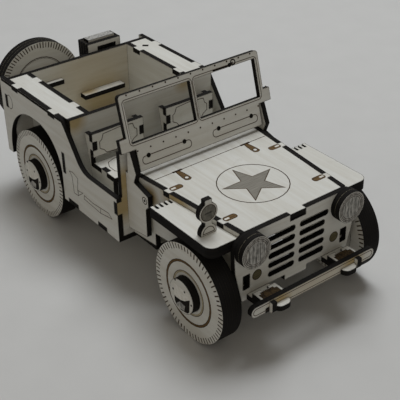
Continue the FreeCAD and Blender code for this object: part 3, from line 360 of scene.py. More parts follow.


# %% [markdown]
# Ochre spots lie on a few plates: the bumper beside its cheeks, as painted reflection and
# shade from the brown shackle plates; the engine's right side, as painted light; and the
# firewall in the door opening, the tailgate, the can's tray and the plate behind the seats.
# Noise could scatter spots everywhere, but these lie only in these places. So each is
# listed with its place on the plate, its radius and its strength.

# %% Where the ochre spots lie
FIREWALL_X, BULKHEAD_X, TAILGATE_X = HINGE_X - 7, HINGE_X - 57, HINGE_X - 128
BUMPER = middle("bumper")
OCHRE_SPOTS = {
    # The bumper: painted reflection and shade from the brown shackle plates.
    "bumper": [((BUMPER.x, -24.0, BUMPER.z), 9.0, 0.7), ((BUMPER.x, 27.0, BUMPER.z), 10.0, 0.7),
               ((BUMPER.x, 0.0, BUMPER.z), 40.0, 0.25)],
    "firewall": [((FIREWALL_X, -50.0, 47.0), 14.0, 0.75), ((FIREWALL_X, -49.0, 62.0), 12.0, 0.75)],
    # The engine's right side: painted light.
    "engine_side_right": [((HINGE_X + 30, -41.0, 66.0), 14.0, 0.75),
                          ((HINGE_X + 9, -43.0, 58.0), 8.0, 0.75)],
    "tailgate": [((TAILGATE_X, 8.0, 62.0), 50.0, 0.35), ((TAILGATE_X, 14.0, 44.0), 24.0, 0.5)],
    "bulkhead": [((BULKHEAD_X, -48.0, 78.0), 10.0, 0.75), ((BULKHEAD_X, 30.0, 80.0), 9.0, 0.6)],
    "can_tray": [((TAILGATE_X - 2, 3.0, 55.0), 10.0, 0.75)],
}
print("stained plates:", len(OCHRE_SPOTS))


def dress(name, material):
    """Gives a CAD node its material."""
    target = nodes[name]
    if not target.material_slots:
        target.data.materials.append(material)
    for place in target.material_slots:
        place.material = material


for across, members in LIES.items():
    axis = across.index(1)
    for name in members:
        layers = max([1] + [count for word, count in STACKED.items() if word in name])
        seam_tone = SEAM_DARK if "front_" in name or "rear_" in name else SEAM_PALE
        scorch = TYRE_SCORCH_REACH if "tyre" in name else SCORCH_REACH
        dress(name, birch_plywood("birch_plywood_" + name, across, corner_low(name)[axis],
                                  GRAIN[across], layers, OCHRE_SPOTS.get(name, ()), seam_tone, scorch))


# %% [markdown]
# Two kinds of plate don't lie square. The windscreen leans back, and the engine's sides
# run closer together towards the grille. Their materials get a direction across of their
# own, from the angles at which they stand, because a face is found by that direction.

# %% The leaning windscreen and the tapering nose
RAKE = math.radians(15.25)
SCREEN_ACROSS = Vector((math.cos(RAKE), 0, math.sin(RAKE)))
SCREEN_UP = Vector((-math.sin(RAKE), 0, math.cos(RAKE)))
NOSE_NARROWS, NOSE_LENGTH = 7.3, 76.2
TAPER = math.atan(NOSE_NARROWS / NOSE_LENGTH)
NAMED_SIDES = ((-1, "right"), (1, "left"))

dress("windscreen", birch_plywood("birch_plywood_windscreen", SCREEN_ACROSS,
                                  reach("windscreen", SCREEN_ACROSS) - PLATE, 1))
for side, name in NAMED_SIDES:
    plate = "engine_side_" + name
    across = Vector((math.sin(TAPER), side * math.cos(TAPER), 0))
    dress(plate, birch_plywood("birch_plywood_" + plate, across, reach(plate, across) - PLATE, 0, 1,
                               OCHRE_SPOTS.get(plate, ())))
print("materials:", len(bpy.data.materials))


# %% [markdown]
# The laser also draws. A quick pass leaves a thin dark line, and a slow sweep from side to
# side browns a whole patch. Each finish could have a tree of its own, but one function
# makes them all, because each is two tones of noise with patches of its own size, rough
# and nearly without gloss. A real sweep's stripes lie about a tenth of a millimetre apart
# and are drawn coarser here, so that they show at all.

# %% One burnt or bare finish
STRIPE = (0.3, 8.0, 0.3)
MOTTLE = (1.4, 1.4, 3.2)
TONES_SHOW = (0.35, 0.65)
BURN_DEPTH = 0.05


def drawn(name, low, high, size, rough):
    """A finish of two tones, its patches sized in millimetres."""
    material, tree = new_material(name)
    noise = sized_noise(tree, add(tree, "ShaderNodeTexCoord"), size, 2.0)
    tone = add(tree, "ShaderNodeMapRange", {
        "Value": noise, "From Min": TONES_SHOW[0], "From Max": TONES_SHOW[1],
    })
    colour = add(tree, "ShaderNodeMix", {
        0: tone.outputs[0], MIX_LOW: linear(low), MIX_HIGH: linear(high),
    }, data_type="RGBA")
    relief = add(tree, "ShaderNodeBump", {"Height": noise, "Strength": 0.2, "Distance": BURN_DEPTH * MM})
    surface = add(tree, "ShaderNodeBsdfPrincipled", {
        "Base Color": colour.outputs[MIX_RESULT], "Roughness": rough, "Specular IOR Level": 0.2,
        "Normal": relief.outputs[0],
    })
    add(tree, "ShaderNodeOutputMaterial", {0: surface.outputs[0]})
    return material


# %% [markdown]
# Each ink is a finish and the height, in millimetres, that its marks stand proud of the
# plate. Where two marks overlap, the higher one shows, so lines stand over patches, and
# bare wood and holes stand over lines. Three marks are only as high as the patch that
# they lie on: the ribs and the filament on a lamp's glass, and the star's own outline.

# %% What the laser draws with
INKS = {
    # Wood that the laser has only warmed: a soft tan, nearly as smooth as the face.
    "toast": (drawn("toasted_birch", "#9f9478", "#b9ae92", (1.5, 1.5, 1.5), 0.7), 0.03),
    # A swept patch: warm brown in fine stripes, dull.
    "raster": (drawn("laser_raster", "#50402a", "#765c3a", STRIPE, 0.85), 0.04),
    # The same sweep gone deeper: blotches of dark brown and char, which on the shackle plates
    # are partly painted shade in their recess.
    "dark raster": (drawn("deep_raster_and_painted_shade", "#2a2217", "#54432a", (1.2, 1.2, 1.2), 0.85), 0.04),
    # The side lamps' sweep: a greenish grey-brown disc.
    "olive": (drawn("side_lamp_raster", "#4f4a36", "#6e674c", STRIPE, 0.85), 0.04),
    # The star's sweep: an even warm grey with hardly visible stripes.
    "grey": (drawn("star_raster", "#7a766d", "#918d83", STRIPE, 0.85), 0.04),
    # A lamp's glass: light and dark grey mottles that stand upright.
    "lens": (drawn("lens_raster", "#7d7c78", "#bdbbb5", MOTTLE, 0.8), 0.03),
    # The small lamp's glass, and the ribs of the large ones: the same, but darker.
    "dark lens": (drawn("marker_lens_raster", "#66645d", "#807d74", MOTTLE, 0.8), 0.03),
    # Soot beside a deep cut: nearly black, without any gloss. In the hubs' openings it is
    # painted shade, and along the tub sides' top edge it is partly painted shade.
    "soot": (drawn("laser_soot_and_painted_shade", "#0e0b08", "#1d1711", (2.0, 2.0, 2.0), 0.9), 0.05),
    # An engraved line: dark brown that lightens where the beam went faster.
    "line": (drawn("laser_line", "#2b2118", "#4b3826", (0.6, 0.6, 0.6), 0.85), 0.06),
    # Clean birch, a shade paler than the smoked face round it; on the hubs it is painted
    # highlight.
    "pale": (drawn("bare_birch", "#e3e0d8", "#d5d1c6", (2.0, 6.0, 2.0), 0.6), 0.08),
    # A drilled hole: a small black disc that gives nothing back.
    "hole": (drawn("drilled_hole", "#0b0907", "#14100c", (0.5, 0.5, 0.5), 0.9), 0.10),
}
print("inks:", ", ".join(INKS))


# %% [markdown]
# A mark's outline is a list of flat points: arcs, boxes with rounded corners, or a few
# corners joined by straight lines. A curve object could draw a line too, but it would be
# round like a wire, and a burnt line is flat. So a line is worked out from its two sides,
# half a width to the left and to the right. At a corner they meet on its bisector, and
# where the corner is so sharp that they would meet far out, they are held back.

# %% Outlines
ARC_STEP = math.radians(12)
SHARPEST = 0.35


def arc(centre, radius, start, end):
    """Points along an arc, the angles in degrees."""
    first, last = math.radians(start), math.radians(end)
    count = max(2, math.ceil(abs(last - first) / ARC_STEP))
    turns = [first + (last - first) * step / count for step in range(count + 1)]
    return [(centre[0] + radius * math.cos(t), centre[1] + radius * math.sin(t)) for t in turns]


def rounded_box(low, high, radius):
    """Outline of a box with rounded corners."""
    (a, b), (c, d) = (low[0] + radius, low[1] + radius), (high[0] - radius, high[1] - radius)
    return (arc((c, b), radius, -90, 0) + arc((c, d), radius, 0, 90)
            + arc((a, d), radius, 90, 180) + arc((a, b), radius, 180, 270))


def offset(outline, distance, closed):
    """The outline moved sideways, mitred at its corners."""
    points = [Vector(point) for point in outline]
    moved = []
    for place, point in enumerate(points):
        before = points[place - 1] if closed or place else point
        after = points[(place + 1) % len(points)] if closed or place + 1 < len(points) else point
        arriving = (point - before).normalized() if point != before else (after - point).normalized()
        leaving = (after - point).normalized() if after != point else arriving
        mitre = arriving + leaving
        mitre = Vector((-mitre.y, mitre.x)).normalized()
        stretch = max(mitre.dot(Vector((-arriving.y, arriving.x))), SHARPEST)
        moved.append(point + mitre * distance / stretch)
    return moved


# %% [markdown]
# In Blender an object only says where a thing stands, and its shape is a mesh of its own.
# The last steps are the same for every drawn piece, so one function takes them: it gives
# the mesh its object, says which body of the toy moves it, and prints its count of faces.

# %% Keeping a finished piece
def put_in_scene(name, data):
    """A new object that shows a mesh, a lamp or a camera."""
    made = bpy.data.objects.new(name, data)
    bpy.context.scene.collection.objects.link(made)
    return made


def keep(name, mesh, body):
    """Makes the mesh a piece that rides on a body."""
    made = put_in_scene(name, mesh)
    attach(made, body)
    print(name, len(mesh.polygons), "faces")


# %% [markdown]
# A mark is a closed sliver of mesh, sunk a little into its plate and standing a few
# hundredths of a millimetre proud, so that it never fights with the face for the same
# place. It could be a mask in the plate's material instead, but a mask needs a formula
# for each outline, and a sliver takes any outline. A Drawing collects the marks of one
# plate in one mesh. Its two axes and the way that the face looks turn flat coordinates
# into places on the toy.

# %% A drawing on one face of a plate
SUNK = 0.02
# A full turn stops a step short, so that its last corner isn't the first one again.
FULL_DISC, FULL_RING = 345, 348


class Drawing:
    """The marks on one face of a plate."""

    def __init__(self, node, facing, along, up, origin=(0, 0)):
        self.mesh = bmesh.new()
        self.facing, self.along, self.up = Vector(facing), Vector(along), Vector(up)
        self.level = reach(node, facing)
        self.origin = origin
        self.inks = []

    def spot(self, point, lift):
        """A new corner at a flat point, lifted off the face."""
        a, b = point[0] + self.origin[0], point[1] + self.origin[1]
        return self.mesh.verts.new(
            (self.facing * (self.level + lift) + self.along * a + self.up * b) * MM)

    def paint(self, faces, ink):
        """Gives the faces their ink."""
        if ink not in self.inks:
            self.inks.append(ink)
        for face in faces:
            face.material_index = self.inks.index(ink)

    def area(self, outline, ink="raster", height=None, sunk=SUNK):
        """A filled outline."""
        height = INKS[ink][1] if height is None else height
        low = [self.spot(point, -sunk) for point in outline]
        high = [self.spot(point, height) for point in outline]
        faces = [self.mesh.faces.new(low[::-1]), self.mesh.faces.new(high)]
        for place in range(len(outline)):
            after = (place + 1) % len(outline)
            faces.append(self.mesh.faces.new((low[place], low[after], high[after], high[place])))
        self.paint(faces, ink)

    def disc(self, centre, radius, ink):
        """A filled circle."""
        self.area(arc(centre, radius, 0, FULL_DISC), ink)

    def line(self, points, width, ink="line", closed=False):
        """A line of one width through the points."""
        height = INKS[ink][1]
        rings = []
        for side, lift in ((-1, -SUNK), (1, -SUNK), (1, height), (-1, height)):
            rings.append([self.spot(point, lift) for point in offset(points, side * width / 2, closed)])
        faces = []
        for place in range(len(points) if closed else len(points) - 1):
            after = (place + 1) % len(points)
            for ring in range(4):
                here, there = rings[ring], rings[(ring + 1) % 4]
                faces.append(self.mesh.faces.new((here[place], here[after], there[after], there[place])))
        if not closed:
            faces.append(self.mesh.faces.new([ring[0] for ring in rings]))
            faces.append(self.mesh.faces.new([ring[-1] for ring in rings[::-1]]))
        self.paint(faces, ink)

    def ring(self, centre, radius, width, ink="line"):
        """A circular line."""
        self.line(arc(centre, radius, 0, FULL_RING), width, ink, closed=True)

    def finish(self, name, body="body"):
        """Turns the drawing into a piece that rides on a body."""
        bmesh.ops.recalc_face_normals(self.mesh, faces=self.mesh.faces)
        mesh = bpy.data.meshes.new(name)
        self.mesh.to_mesh(mesh)
        self.mesh.free()
        for ink in self.inks:
            mesh.materials.append(INKS[ink][0])
        keep(name, mesh, body)


# %% [markdown]
# Each plate is drawn as the laser sees it, square on. A view holds three directions: the
# way that the face looks, and the ways along and up in its drawing. The laser's line is a
# third to half a millimetre wide, by its speed and power, so a few widths are named and
# used in all the drawings. What both sides of the car share is drawn once and mirrored.

# %% Views, widths of lines, and mirroring
FROM_ABOVE = ((0, 0, 1), (1, 0, 0), (0, 1, 0))
FROM_FRONT = ((1, 0, 0), (0, 1, 0), (0, 0, 1))
FROM_HINGE = (HINGE_X, 0)
HAIR, FINE, USUAL, FIRM, BOLD = 0.3, 0.35, 0.4, 0.45, 0.5
SIDES = (-1, 1)


def from_side(side):
    """View of the car's right side, -1, or of its left side, 1."""
    return (0, side, 0), (1, 0, 0), (0, 0, 1)


def mirrored(outline, side):
    """The outline on the chosen side of the car, from its shape on the left."""
    return [(a, b * side) for a, b in outline]


# %% [markdown]
# The bonnet carries most of the drawing. The plain five-point star in a circle is what
# army vehicles wear. Its ten corners come from two radii, with one tip towards the
# windscreen, which is shorter and truer than ten measured points.

# %% Star
STAR_CENTRE = (44.0, 0.0)
STAR_TIP, STAR_WAIST, STAR_CIRCLE = 17.1, 6.6, 19.5
STAR_CORNERS = 10
STAR_CIRCLE_WIDTH = 0.55

bonnet = Drawing("bonnet", *FROM_ABOVE, origin=FROM_HINGE)
star = []
for corner in range(STAR_CORNERS):
    turn = math.pi + corner * 2 * math.pi / STAR_CORNERS
    far = STAR_WAIST if corner % 2 else STAR_TIP
    star.append((STAR_CENTRE[0] + far * math.cos(turn), STAR_CENTRE[1] + far * math.sin(turn)))
bonnet.area(star, "grey")
bonnet.line(star, BOLD, "raster", closed=True)
bonnet.ring(STAR_CENTRE, STAR_CIRCLE, STAR_CIRCLE_WIDTH, "line")
print("star's corners:", len(star))


# %% [markdown]
# The hinge line runs across the bonnet with two browned hinges on it: a long leaf with a
# round end and a clean boss, and a short dark knuckle on the line. Four latches lie near
# the edges, each a strap with a slot and a pin. Each could be an outline of its own, but
# they differ only in place, so one loop makes them from a short list of places.

# %% Hinges and latches
HINGE_LINE, HINGE_HALF_WIDTH = 8.6, 39.0
LEAF_NEAR = [(HINGE_LINE, 22.9), (12.0, 22.4), (16.0, 22.0)]
LEAF_FAR = [(16.0, 26.0), (12.0, 25.6), (HINGE_LINE, 25.1)]
LEAF_END, LEAF_END_RADIUS = (17.6, 24.0), 2.3
LEAF = LEAF_NEAR + arc(LEAF_END, LEAF_END_RADIUS, -60, 60) + LEAF_FAR
KNUCKLE = ((7.9, 20.6), (9.3, 20.6), (9.3, 27.1), (7.9, 27.1))
BOSS, BOSS_RADIUS = (17.4, 24.0), 1.2
# Each latch: its station along the bonnet, its strap's two ends, and its pin.
LATCHES = ((22.0, 30.6, 38.2, 36.2), (62.0, 26.4, 34.4, 32.4))
STRAP_HALF, STRAP_ROUND = 1.8, 1.5
SLOT_HALF, SLOT_HALF_LENGTH, SLOT_ROUND = 0.7, 1.5, 0.6
PIN_RADIUS = 0.8

bonnet.line([(HINGE_LINE, -HINGE_HALF_WIDTH), (HINGE_LINE, HINGE_HALF_WIDTH)], FIRM)
for side in SIDES:
    bonnet.area(mirrored(LEAF, side))
    bonnet.line(mirrored(LEAF, side), USUAL, "line", closed=True)
    bonnet.area(mirrored(KNUCKLE, side), "line")
    boss = (BOSS[0], BOSS[1] * side)
    bonnet.disc(boss, BOSS_RADIUS, "pale")
    bonnet.ring(boss, BOSS_RADIUS, FINE, "hole")
    for station, near, far, pin in LATCHES:
        ends = sorted((near * side, far * side))
        strap = rounded_box((station - STRAP_HALF, ends[0]), (station + STRAP_HALF, ends[1]), STRAP_ROUND)
        bonnet.area(strap)
        bonnet.line(strap, USUAL, "line", closed=True)
        bonnet.area(rounded_box((station - SLOT_HALF, pin * side - SLOT_HALF_LENGTH),
                                (station + SLOT_HALF, pin * side + SLOT_HALF_LENGTH), SLOT_ROUND), "pale")
        bonnet.ring((station, pin * side), PIN_RADIUS, HAIR, "line")
bonnet.finish("bonnet_marks")


# %% [markdown]
# The windscreen's two panes have a thin engraved frame. Below them lie two long loops,
# each with two small holes, where the real vehicle has its hinged vents. A small wiper
# hangs from the top bar. The plate leans, so its drawing has its own axes, across the
# screen and up its slope. That is easier than drawing it upright and turning it after.

# %% Windscreen
SCREEN_FOOT = -reach("windscreen", -SCREEN_UP)
PANE_LOW, PANE_HIGH, PANE_IN, PANE_OUT = 16.4, 39.0, 1.4, 44.4
PANE_FRAME_IN, PANE_FRAME_OUT, PANE_FRAME_ROUND = 1.1, 1.3, 2.4
VENT_IN, VENT_OUT, VENT_LOW, VENT_HIGH, VENT_ROUND = 7.6, 40.2, 3.1, 7.5, 2.1
VENT_HOLES, VENT_HOLE_LEVEL, VENT_HOLE_RADIUS = (12.0, 35.9), 7.4, 1.3
WIPER_ARM, WIPER_ARM_WIDTH = ((14.7, 39.8), (25.2, 39.7)), 0.8
WIPER_CRANK, WIPER_CRANK_WIDTH = ((25.2, 39.7), (29.3, 41.0)), 0.7
WIPER_KNOB, WIPER_KNOB_RADIUS = (26.7, 40.0), 1.2
WIPER_PIVOT, WIPER_PIVOT_RADIUS = (29.3, 41.0), 1.5
EAR_HOLE, EAR_HOLE_RADIUS = (49.5, 20.9), 0.6

screen = Drawing("windscreen", SCREEN_ACROSS, (0, 1, 0), SCREEN_UP, origin=(0, SCREEN_FOOT))
for side in SIDES:
    ends = sorted((side * (PANE_IN - PANE_FRAME_IN), side * (PANE_OUT + PANE_FRAME_OUT)))
    pane = rounded_box((ends[0], PANE_LOW - PANE_FRAME_OUT), (ends[1], PANE_HIGH + PANE_FRAME_OUT),
                       PANE_FRAME_ROUND)
    screen.line(pane, FINE, closed=True)
    ends = sorted((side * VENT_IN, side * VENT_OUT))
    screen.line(rounded_box((ends[0], VENT_LOW), (ends[1], VENT_HIGH), VENT_ROUND), USUAL, closed=True)
    for across_screen in VENT_HOLES:
        screen.disc((side * across_screen, VENT_HOLE_LEVEL), VENT_HOLE_RADIUS, "hole")
screen.line(WIPER_ARM, WIPER_ARM_WIDTH, "soot")
screen.line(WIPER_CRANK, WIPER_CRANK_WIDTH, "soot")
screen.disc(WIPER_KNOB, WIPER_KNOB_RADIUS, "hole")
screen.ring(WIPER_PIVOT, WIPER_PIVOT_RADIUS, WIPER_CRANK_WIDTH, "soot")
for side in SIDES:
    screen.disc((side * EAR_HOLE[0], EAR_HOLE[1]), EAR_HOLE_RADIUS, "line")
screen.finish("windscreen_marks")


# %% [markdown]
# The nose has two small side lamps browned into the grille. A headlamp's glass is a
# mottled disc with fine rings near its rim and five faint ribs, each as long as the chord
# that it is, so that they fill a circle.

# %% Side lamps and headlamps
SIDE_LAMP, SIDE_LAMP_RADIUS = (26.8, 39.3), 2.9
LAMP_HALF_TRACK, LAMP_LEVEL = 32.5, 58.5
GLASS_RADIUS = 8.7
GLASS_RINGS = ((8.4, 0.25), (7.5, 0.3), (6.6, 0.3))
RIB_STEP, RIB_CIRCLE = 2.4, 5.8

grille = Drawing("grille", *FROM_FRONT)
lens = Drawing("headlamps", *FROM_FRONT)
for side in SIDES:
    side_lamp = (side * SIDE_LAMP[0], SIDE_LAMP[1])
    grille.disc(side_lamp, SIDE_LAMP_RADIUS, "olive")
    grille.ring(side_lamp, SIDE_LAMP_RADIUS, FIRM)
    lamp_centre = (side * LAMP_HALF_TRACK, LAMP_LEVEL)
    lens.disc(lamp_centre, GLASS_RADIUS, "lens")
    for radius, width in GLASS_RINGS:
        lens.ring(lamp_centre, radius, width, "line")
    for rib in range(-2, 3):
        half_rib = math.sqrt(RIB_CIRCLE ** 2 - (rib * RIB_STEP) ** 2)
        station = lamp_centre[0] + rib * RIB_STEP
        lens.line([(station, LAMP_LEVEL - half_rib), (station, LAMP_LEVEL + half_rib)], FINE, "dark lens")
grille.finish("grille_marks")
lens.finish("headlamp_marks")


# %% [markdown]
# A line follows the bumper's outline, and the two stacks of shackle plates behind it have
# a dark brown patch with stepped corners where a recess shows, partly engraving and partly
# painted shade. Both are worked out from the plates' own boxes.

# %% Bumper and shackle plates
BUMPER_INSET, BUMPER_ROUND = 1.3, 1.9
PATCH_IN, PATCH_OUT, PATCH_BACK = 20.2, 31.9, 3.4
PATCH_STEP_IN, PATCH_STEP_OUT, PATCH_STEP_BACK = 21.8, 30.2, 2.2

bumper = Drawing("bumper", *FROM_FRONT)
low, high = corner_low("bumper"), corner_high("bumper")
bumper.line(rounded_box((low.y + BUMPER_INSET, low.z + BUMPER_INSET),
                        (high.y - BUMPER_INSET, high.z - BUMPER_INSET), BUMPER_ROUND), USUAL, closed=True)
bumper.finish("bumper_marks")

shackle = Drawing("shackle_plates_high", *FROM_ABOVE)
low, high = corner_low("shackle_plates_high"), corner_high("shackle_plates_high")
back, step = low.x + PATCH_BACK, low.x + PATCH_STEP_BACK
PATCH = ((back, PATCH_IN), (high.x, PATCH_IN), (high.x, PATCH_OUT), (back, PATCH_OUT),
         (back, PATCH_STEP_OUT), (step, PATCH_STEP_OUT), (step, PATCH_STEP_IN), (back, PATCH_STEP_IN))
for side in SIDES:
    # The recess in the shackle plates: partly engraving, partly painted shade.
    shackle.area(mirrored(PATCH, side), "dark raster")
    shackle.line(mirrored(PATCH, side), FINE, closed=True)
shackle.finish("shackle_marks")


# %% [markdown]
# The sides carry the grab strap below the door opening: a loop, a small buckle and a long
# tail with a keeper. A smaller oval lies behind the wheel arch, a black band along the top
# edge beside the shelf stands for the shelf's charred edge and is partly painted shade,
# and the cowl has a ring with a bolt. The strap has no rule, so its corners are a short
# list, and both sides share it.

# %% Sides and cowl
STRAP_LOOP = ((-57.6, 47.4), (-53.6, 48.3), (-48.3, 46.4), (-49.8, 37.6), (-49.2, 34.4),
              (-54.2, 34.1), (-54.4, 39.2), (-55.0, 45.3))
STRAP_BUCKLE = ((-49.5, 37.9), (-43.8, 38.7), (-49.2, 34.6))
STRAP_TAIL = ((-42.4, 37.9), (-33.2, 37.1), (-24.3, 38.0), (-16.4, 38.8), (-13.3, 36.4),
              (-17.6, 35.8), (-25.6, 34.3), (-32.7, 34.8), (-42.9, 35.2))
STRAP_KEEPER = ((-24.8, 37.7), (-25.3, 34.5))
OVAL_CENTRE, OVAL_RADIUS, OVAL_NARROW = (-126.2, 65.8), 4.6, 0.75
# The black band beside the shelf: the shelf's charred edge, partly painted shade.
SHELF_EDGE_SHADE, SHELF_EDGE_SHADE_WIDTH = ((-134.5, 78.4), (-59.5, 78.4)), 1.6
COWL_BOLT, COWL_RING_RADIUS, COWL_BOLT_RADIUS = (10.2, 57.4), 2.0, 0.8

for side, name in NAMED_SIDES:
    tub = Drawing("tub_side_" + name, *from_side(side), origin=FROM_HINGE)
    for outline in (STRAP_LOOP, STRAP_BUCKLE, STRAP_TAIL):
        tub.line(outline, FINE, closed=True)
    tub.line(STRAP_KEEPER, HAIR)
    oval = [(OVAL_CENTRE[0] + a * OVAL_NARROW, OVAL_CENTRE[1] + b)
            for a, b in arc((0, 0), OVAL_RADIUS, 0, FULL_RING)]
    tub.line(oval, USUAL, closed=True)
    # A black band for the shelf's charred edge, partly painted shade beside it.
    tub.line(SHELF_EDGE_SHADE, SHELF_EDGE_SHADE_WIDTH, "soot")
    tub.finish("tub_marks_" + name)
    cowl = Drawing("cowl_" + name, *from_side(side), origin=FROM_HINGE)
    cowl.ring(COWL_BOLT, COWL_RING_RADIUS, BOLD)
    cowl.disc(COWL_BOLT, COWL_BOLT_RADIUS, "hole")
    cowl.finish("cowl_marks_" + name)


# %% [markdown]
# The marker lamp on the right fender has a dark glass with a short pale filament, and
# a half-round line in its foot. It is all discs, arcs and one line, so it needs no
# outline of its own. Its places are across the car and up.

# %% Marker lamp
MARKER_CENTRE, MARKER_RADIUS = (-45.5, 76.4), 4.5
FILAMENT_HALF = 2.4
FOOT_LIFT, FOOT_RADIUS = 1.0, 3.5

marker = Drawing("marker_lamp", *FROM_FRONT)
marker.disc(MARKER_CENTRE, MARKER_RADIUS, "dark lens")
marker.ring(MARKER_CENTRE, MARKER_RADIUS, USUAL)
marker.line([(MARKER_CENTRE[0] - FILAMENT_HALF, MARKER_CENTRE[1]),
             (MARKER_CENTRE[0] + FILAMENT_HALF, MARKER_CENTRE[1])], USUAL, "lens")
foot = (MARKER_CENTRE[0], corner_low("marker_lamp").z + FOOT_LIFT)
marker.line(arc(foot, FOOT_RADIUS, 0, 180), USUAL, closed=True)
marker.finish("marker_lamp_marks")


# %% [markdown]
# The seats show the stepped outline of their stitching. Half an outline is listed, and
# the other half is its mirror about the middle of the seat, so both halves agree.

# %% Seats
SEAT_MIDDLE = 26.0
BACK = ((25.0, 71.6), (36.2, 70.8), (37.3, 67.5), (38.9, 66.4), (38.9, 62.1), (36.2, 60.5),
        (34.6, 58.3), (29.1, 57.9))
PAN = ((-43.5, 20.0), (-41.8, 15.4), (-37.0, 13.0), (-31.0, 13.0), (-28.4, 15.2), (-27.0, 20.0))

backs = Drawing("seat_backs", *FROM_FRONT)
pans = Drawing("seat_pans", *FROM_ABOVE, origin=FROM_HINGE)
for side in SIDES:
    other_half = [(2 * SEAT_MIDDLE - a, b) for a, b in BACK[:0:-1]]
    backs.line([(side * a, b) for a, b in list(BACK) + other_half], USUAL, closed=True)
    other_half = [(a, 2 * SEAT_MIDDLE - b) for a, b in PAN[::-1]]
    pans.line(mirrored(list(PAN) + other_half, side), USUAL, closed=True)
backs.finish("seat_back_marks")
pans.finish("seat_pan_marks")


# %% [markdown]
# At the back, the top of the fuel can's handle is a mottled grey patch, and the left
# shelf has one short black cut beside its rear corner. The patch is worked out from the
# can's own box, and the cut is a short wide line.

# %% Fuel can and shelf
HANDLE_INSET = 2.7
SHELF_CUT, SHELF_CUT_WIDTH = ((-119.5, 42.5), (-116.9, 45.5)), 2.6

can = Drawing("fuel_can", *FROM_ABOVE)
low, high = corner_low("fuel_can"), corner_high("fuel_can")
can.area([(low.x + PLATE, low.y + HANDLE_INSET), (high.x - PLATE, low.y + HANDLE_INSET),
          (high.x - PLATE, high.y - HANDLE_INSET), (low.x + PLATE, high.y - HANDLE_INSET)], "lens")
can.finish("fuel_can_marks")
shelf = Drawing("shelf_left", *FROM_ABOVE, origin=FROM_HINGE)
shelf.line(SHELF_CUT, SHELF_CUT_WIDTH, "soot")
shelf.finish("shelf_marks")


# %% [markdown]
# A toy wheel is drawn on its outer face: a browned groove where the tyre meets the disc,
# and a fine tan ring further in. All four wheels are alike, so one function draws any of
# them. The drawing rides on the wheel's axle and turns with it.

# %% Wheel rings
GROOVE_RADIUS, GROOVE_WIDTH, GROOVE_EDGE = 18.4, 1.4, 0.6
TAN_RADIUS, TAN_WIDTH, TAN_EDGE_RADIUS = 12.2, 1.0, 12.9


def wheel_rings(axle, wheel, side, name):
    """The rings on the outer face of one tyre."""
    rings = Drawing(f"{wheel}_tyre_{name}", *from_side(side), origin=(axle.x, axle.z))
    rings.ring((0, 0), GROOVE_RADIUS, GROOVE_WIDTH, "raster")
    rings.ring((0, 0), GROOVE_RADIUS + GROOVE_EDGE, FINE, "line")
    rings.ring((0, 0), GROOVE_RADIUS - GROOVE_EDGE, FINE, "line")
    rings.ring((0, 0), TAN_RADIUS, TAN_WIDTH, "toast")
    rings.ring((0, 0), TAN_EDGE_RADIUS, FINE, "line")
    rings.finish(f"{wheel}_wheel_rings_{name}", wheel + "_axle")


# %% [markdown]
# The hub's opening shows the end of the axle. It lies below the middle, and the upper part
# of the square hole is a pale patch of painted highlight whose lower edge curves, with a
# brighter painted highlight along that edge. The opening itself is filled with painted
# shade. A mesh this small is simplest as three outlines, one over the other: highlight,
# opening and axle end.

# %% Wheel hubs
OPENING = ((-6.0, -2.1), (-3.9, -2.2), (-0.7, -2.0), (2.6, -0.8), (6.4, 2.0), (7.2, 2.4),
           (6.8, -2.5), (6.6, -6.2), (4.9, -8.0), (-0.5, -8.9), (-4.2, -8.0), (-5.8, -5.7))
OPENING_TOP = OPENING[:6]
# A pale patch of painted highlight above the opening, and a brighter painted highlight along its top edge.
HIGHLIGHT_TOP = ((7.0, 5.2), (-6.0, 5.2))
HIGHLIGHT_HEIGHT, HIGHLIGHT_DEEP = 0.04, 1.2
HIGHLIGHT_LIP_WIDTH = 0.9
AXLE_END = ((-4.3, -6.6), (-1.3, -3.9), (3.0, -4.4), (2.3, -7.8), (-1.5, -8.4), (-4.1, -7.8))
HUB_BOLTS = ((-4.9, 8.0), (-6.9, 1.1), (3.0, 4.6), (8.4, -0.6))
HUB_BOLT_RADIUS = 0.6


def hub_marks(axle, wheel, side, name):
    """The opening's painted shade, the painted highlight above it, the axle's end and the bolts on one
    hub.
    """
    hub = Drawing(f"{wheel}_rim_{name}", *from_side(side), origin=(axle.x, axle.z))
    # Painted highlight over the upper part of the hole.
    hub.area(OPENING_TOP + HIGHLIGHT_TOP, "pale", height=HIGHLIGHT_HEIGHT, sunk=HIGHLIGHT_DEEP)
    # Painted shade inside the opening.
    hub.area(OPENING, "soot")
    hub.area(AXLE_END, "lens", height=INKS["pale"][1])
    # A painted highlight along the opening's top edge.
    hub.line(OPENING_TOP, HIGHLIGHT_LIP_WIDTH, "pale")
    for bolt in HUB_BOLTS:
        hub.disc(bolt, HUB_BOLT_RADIUS, "hole")
    hub.finish(f"{wheel}_hub_marks_{name}", wheel + "_axle")


for axle, wheel in ((FRONT_AXLE, "front"), (REAR_AXLE, "rear")):
    for side, name in NAMED_SIDES:
        wheel_rings(axle, wheel, side, name)
        hub_marks(axle, wheel, side, name)


# %% [markdown]
# The spare wheel stands behind the tailgate and shows one fine ring on each face. It
# doesn't turn, so its rings could be part of any drawing on the body. They are pieces of
# their own, because each lies on another face.

# %% Spare wheel
SPARE_CENTRE = middle("spare_tyre")
SPARE_RING_RADIUS = 18.2

for facing, name in ((1, "front"), (-1, "rear")):
    spare = Drawing("spare_tyre", (facing, 0, 0), (0, 1, 0), (0, 0, 1),
                    origin=(SPARE_CENTRE.y, SPARE_CENTRE.z))
    spare.ring((0, 0), SPARE_RING_RADIUS, BOLD, "line")
    spare.finish("spare_rings_" + name)


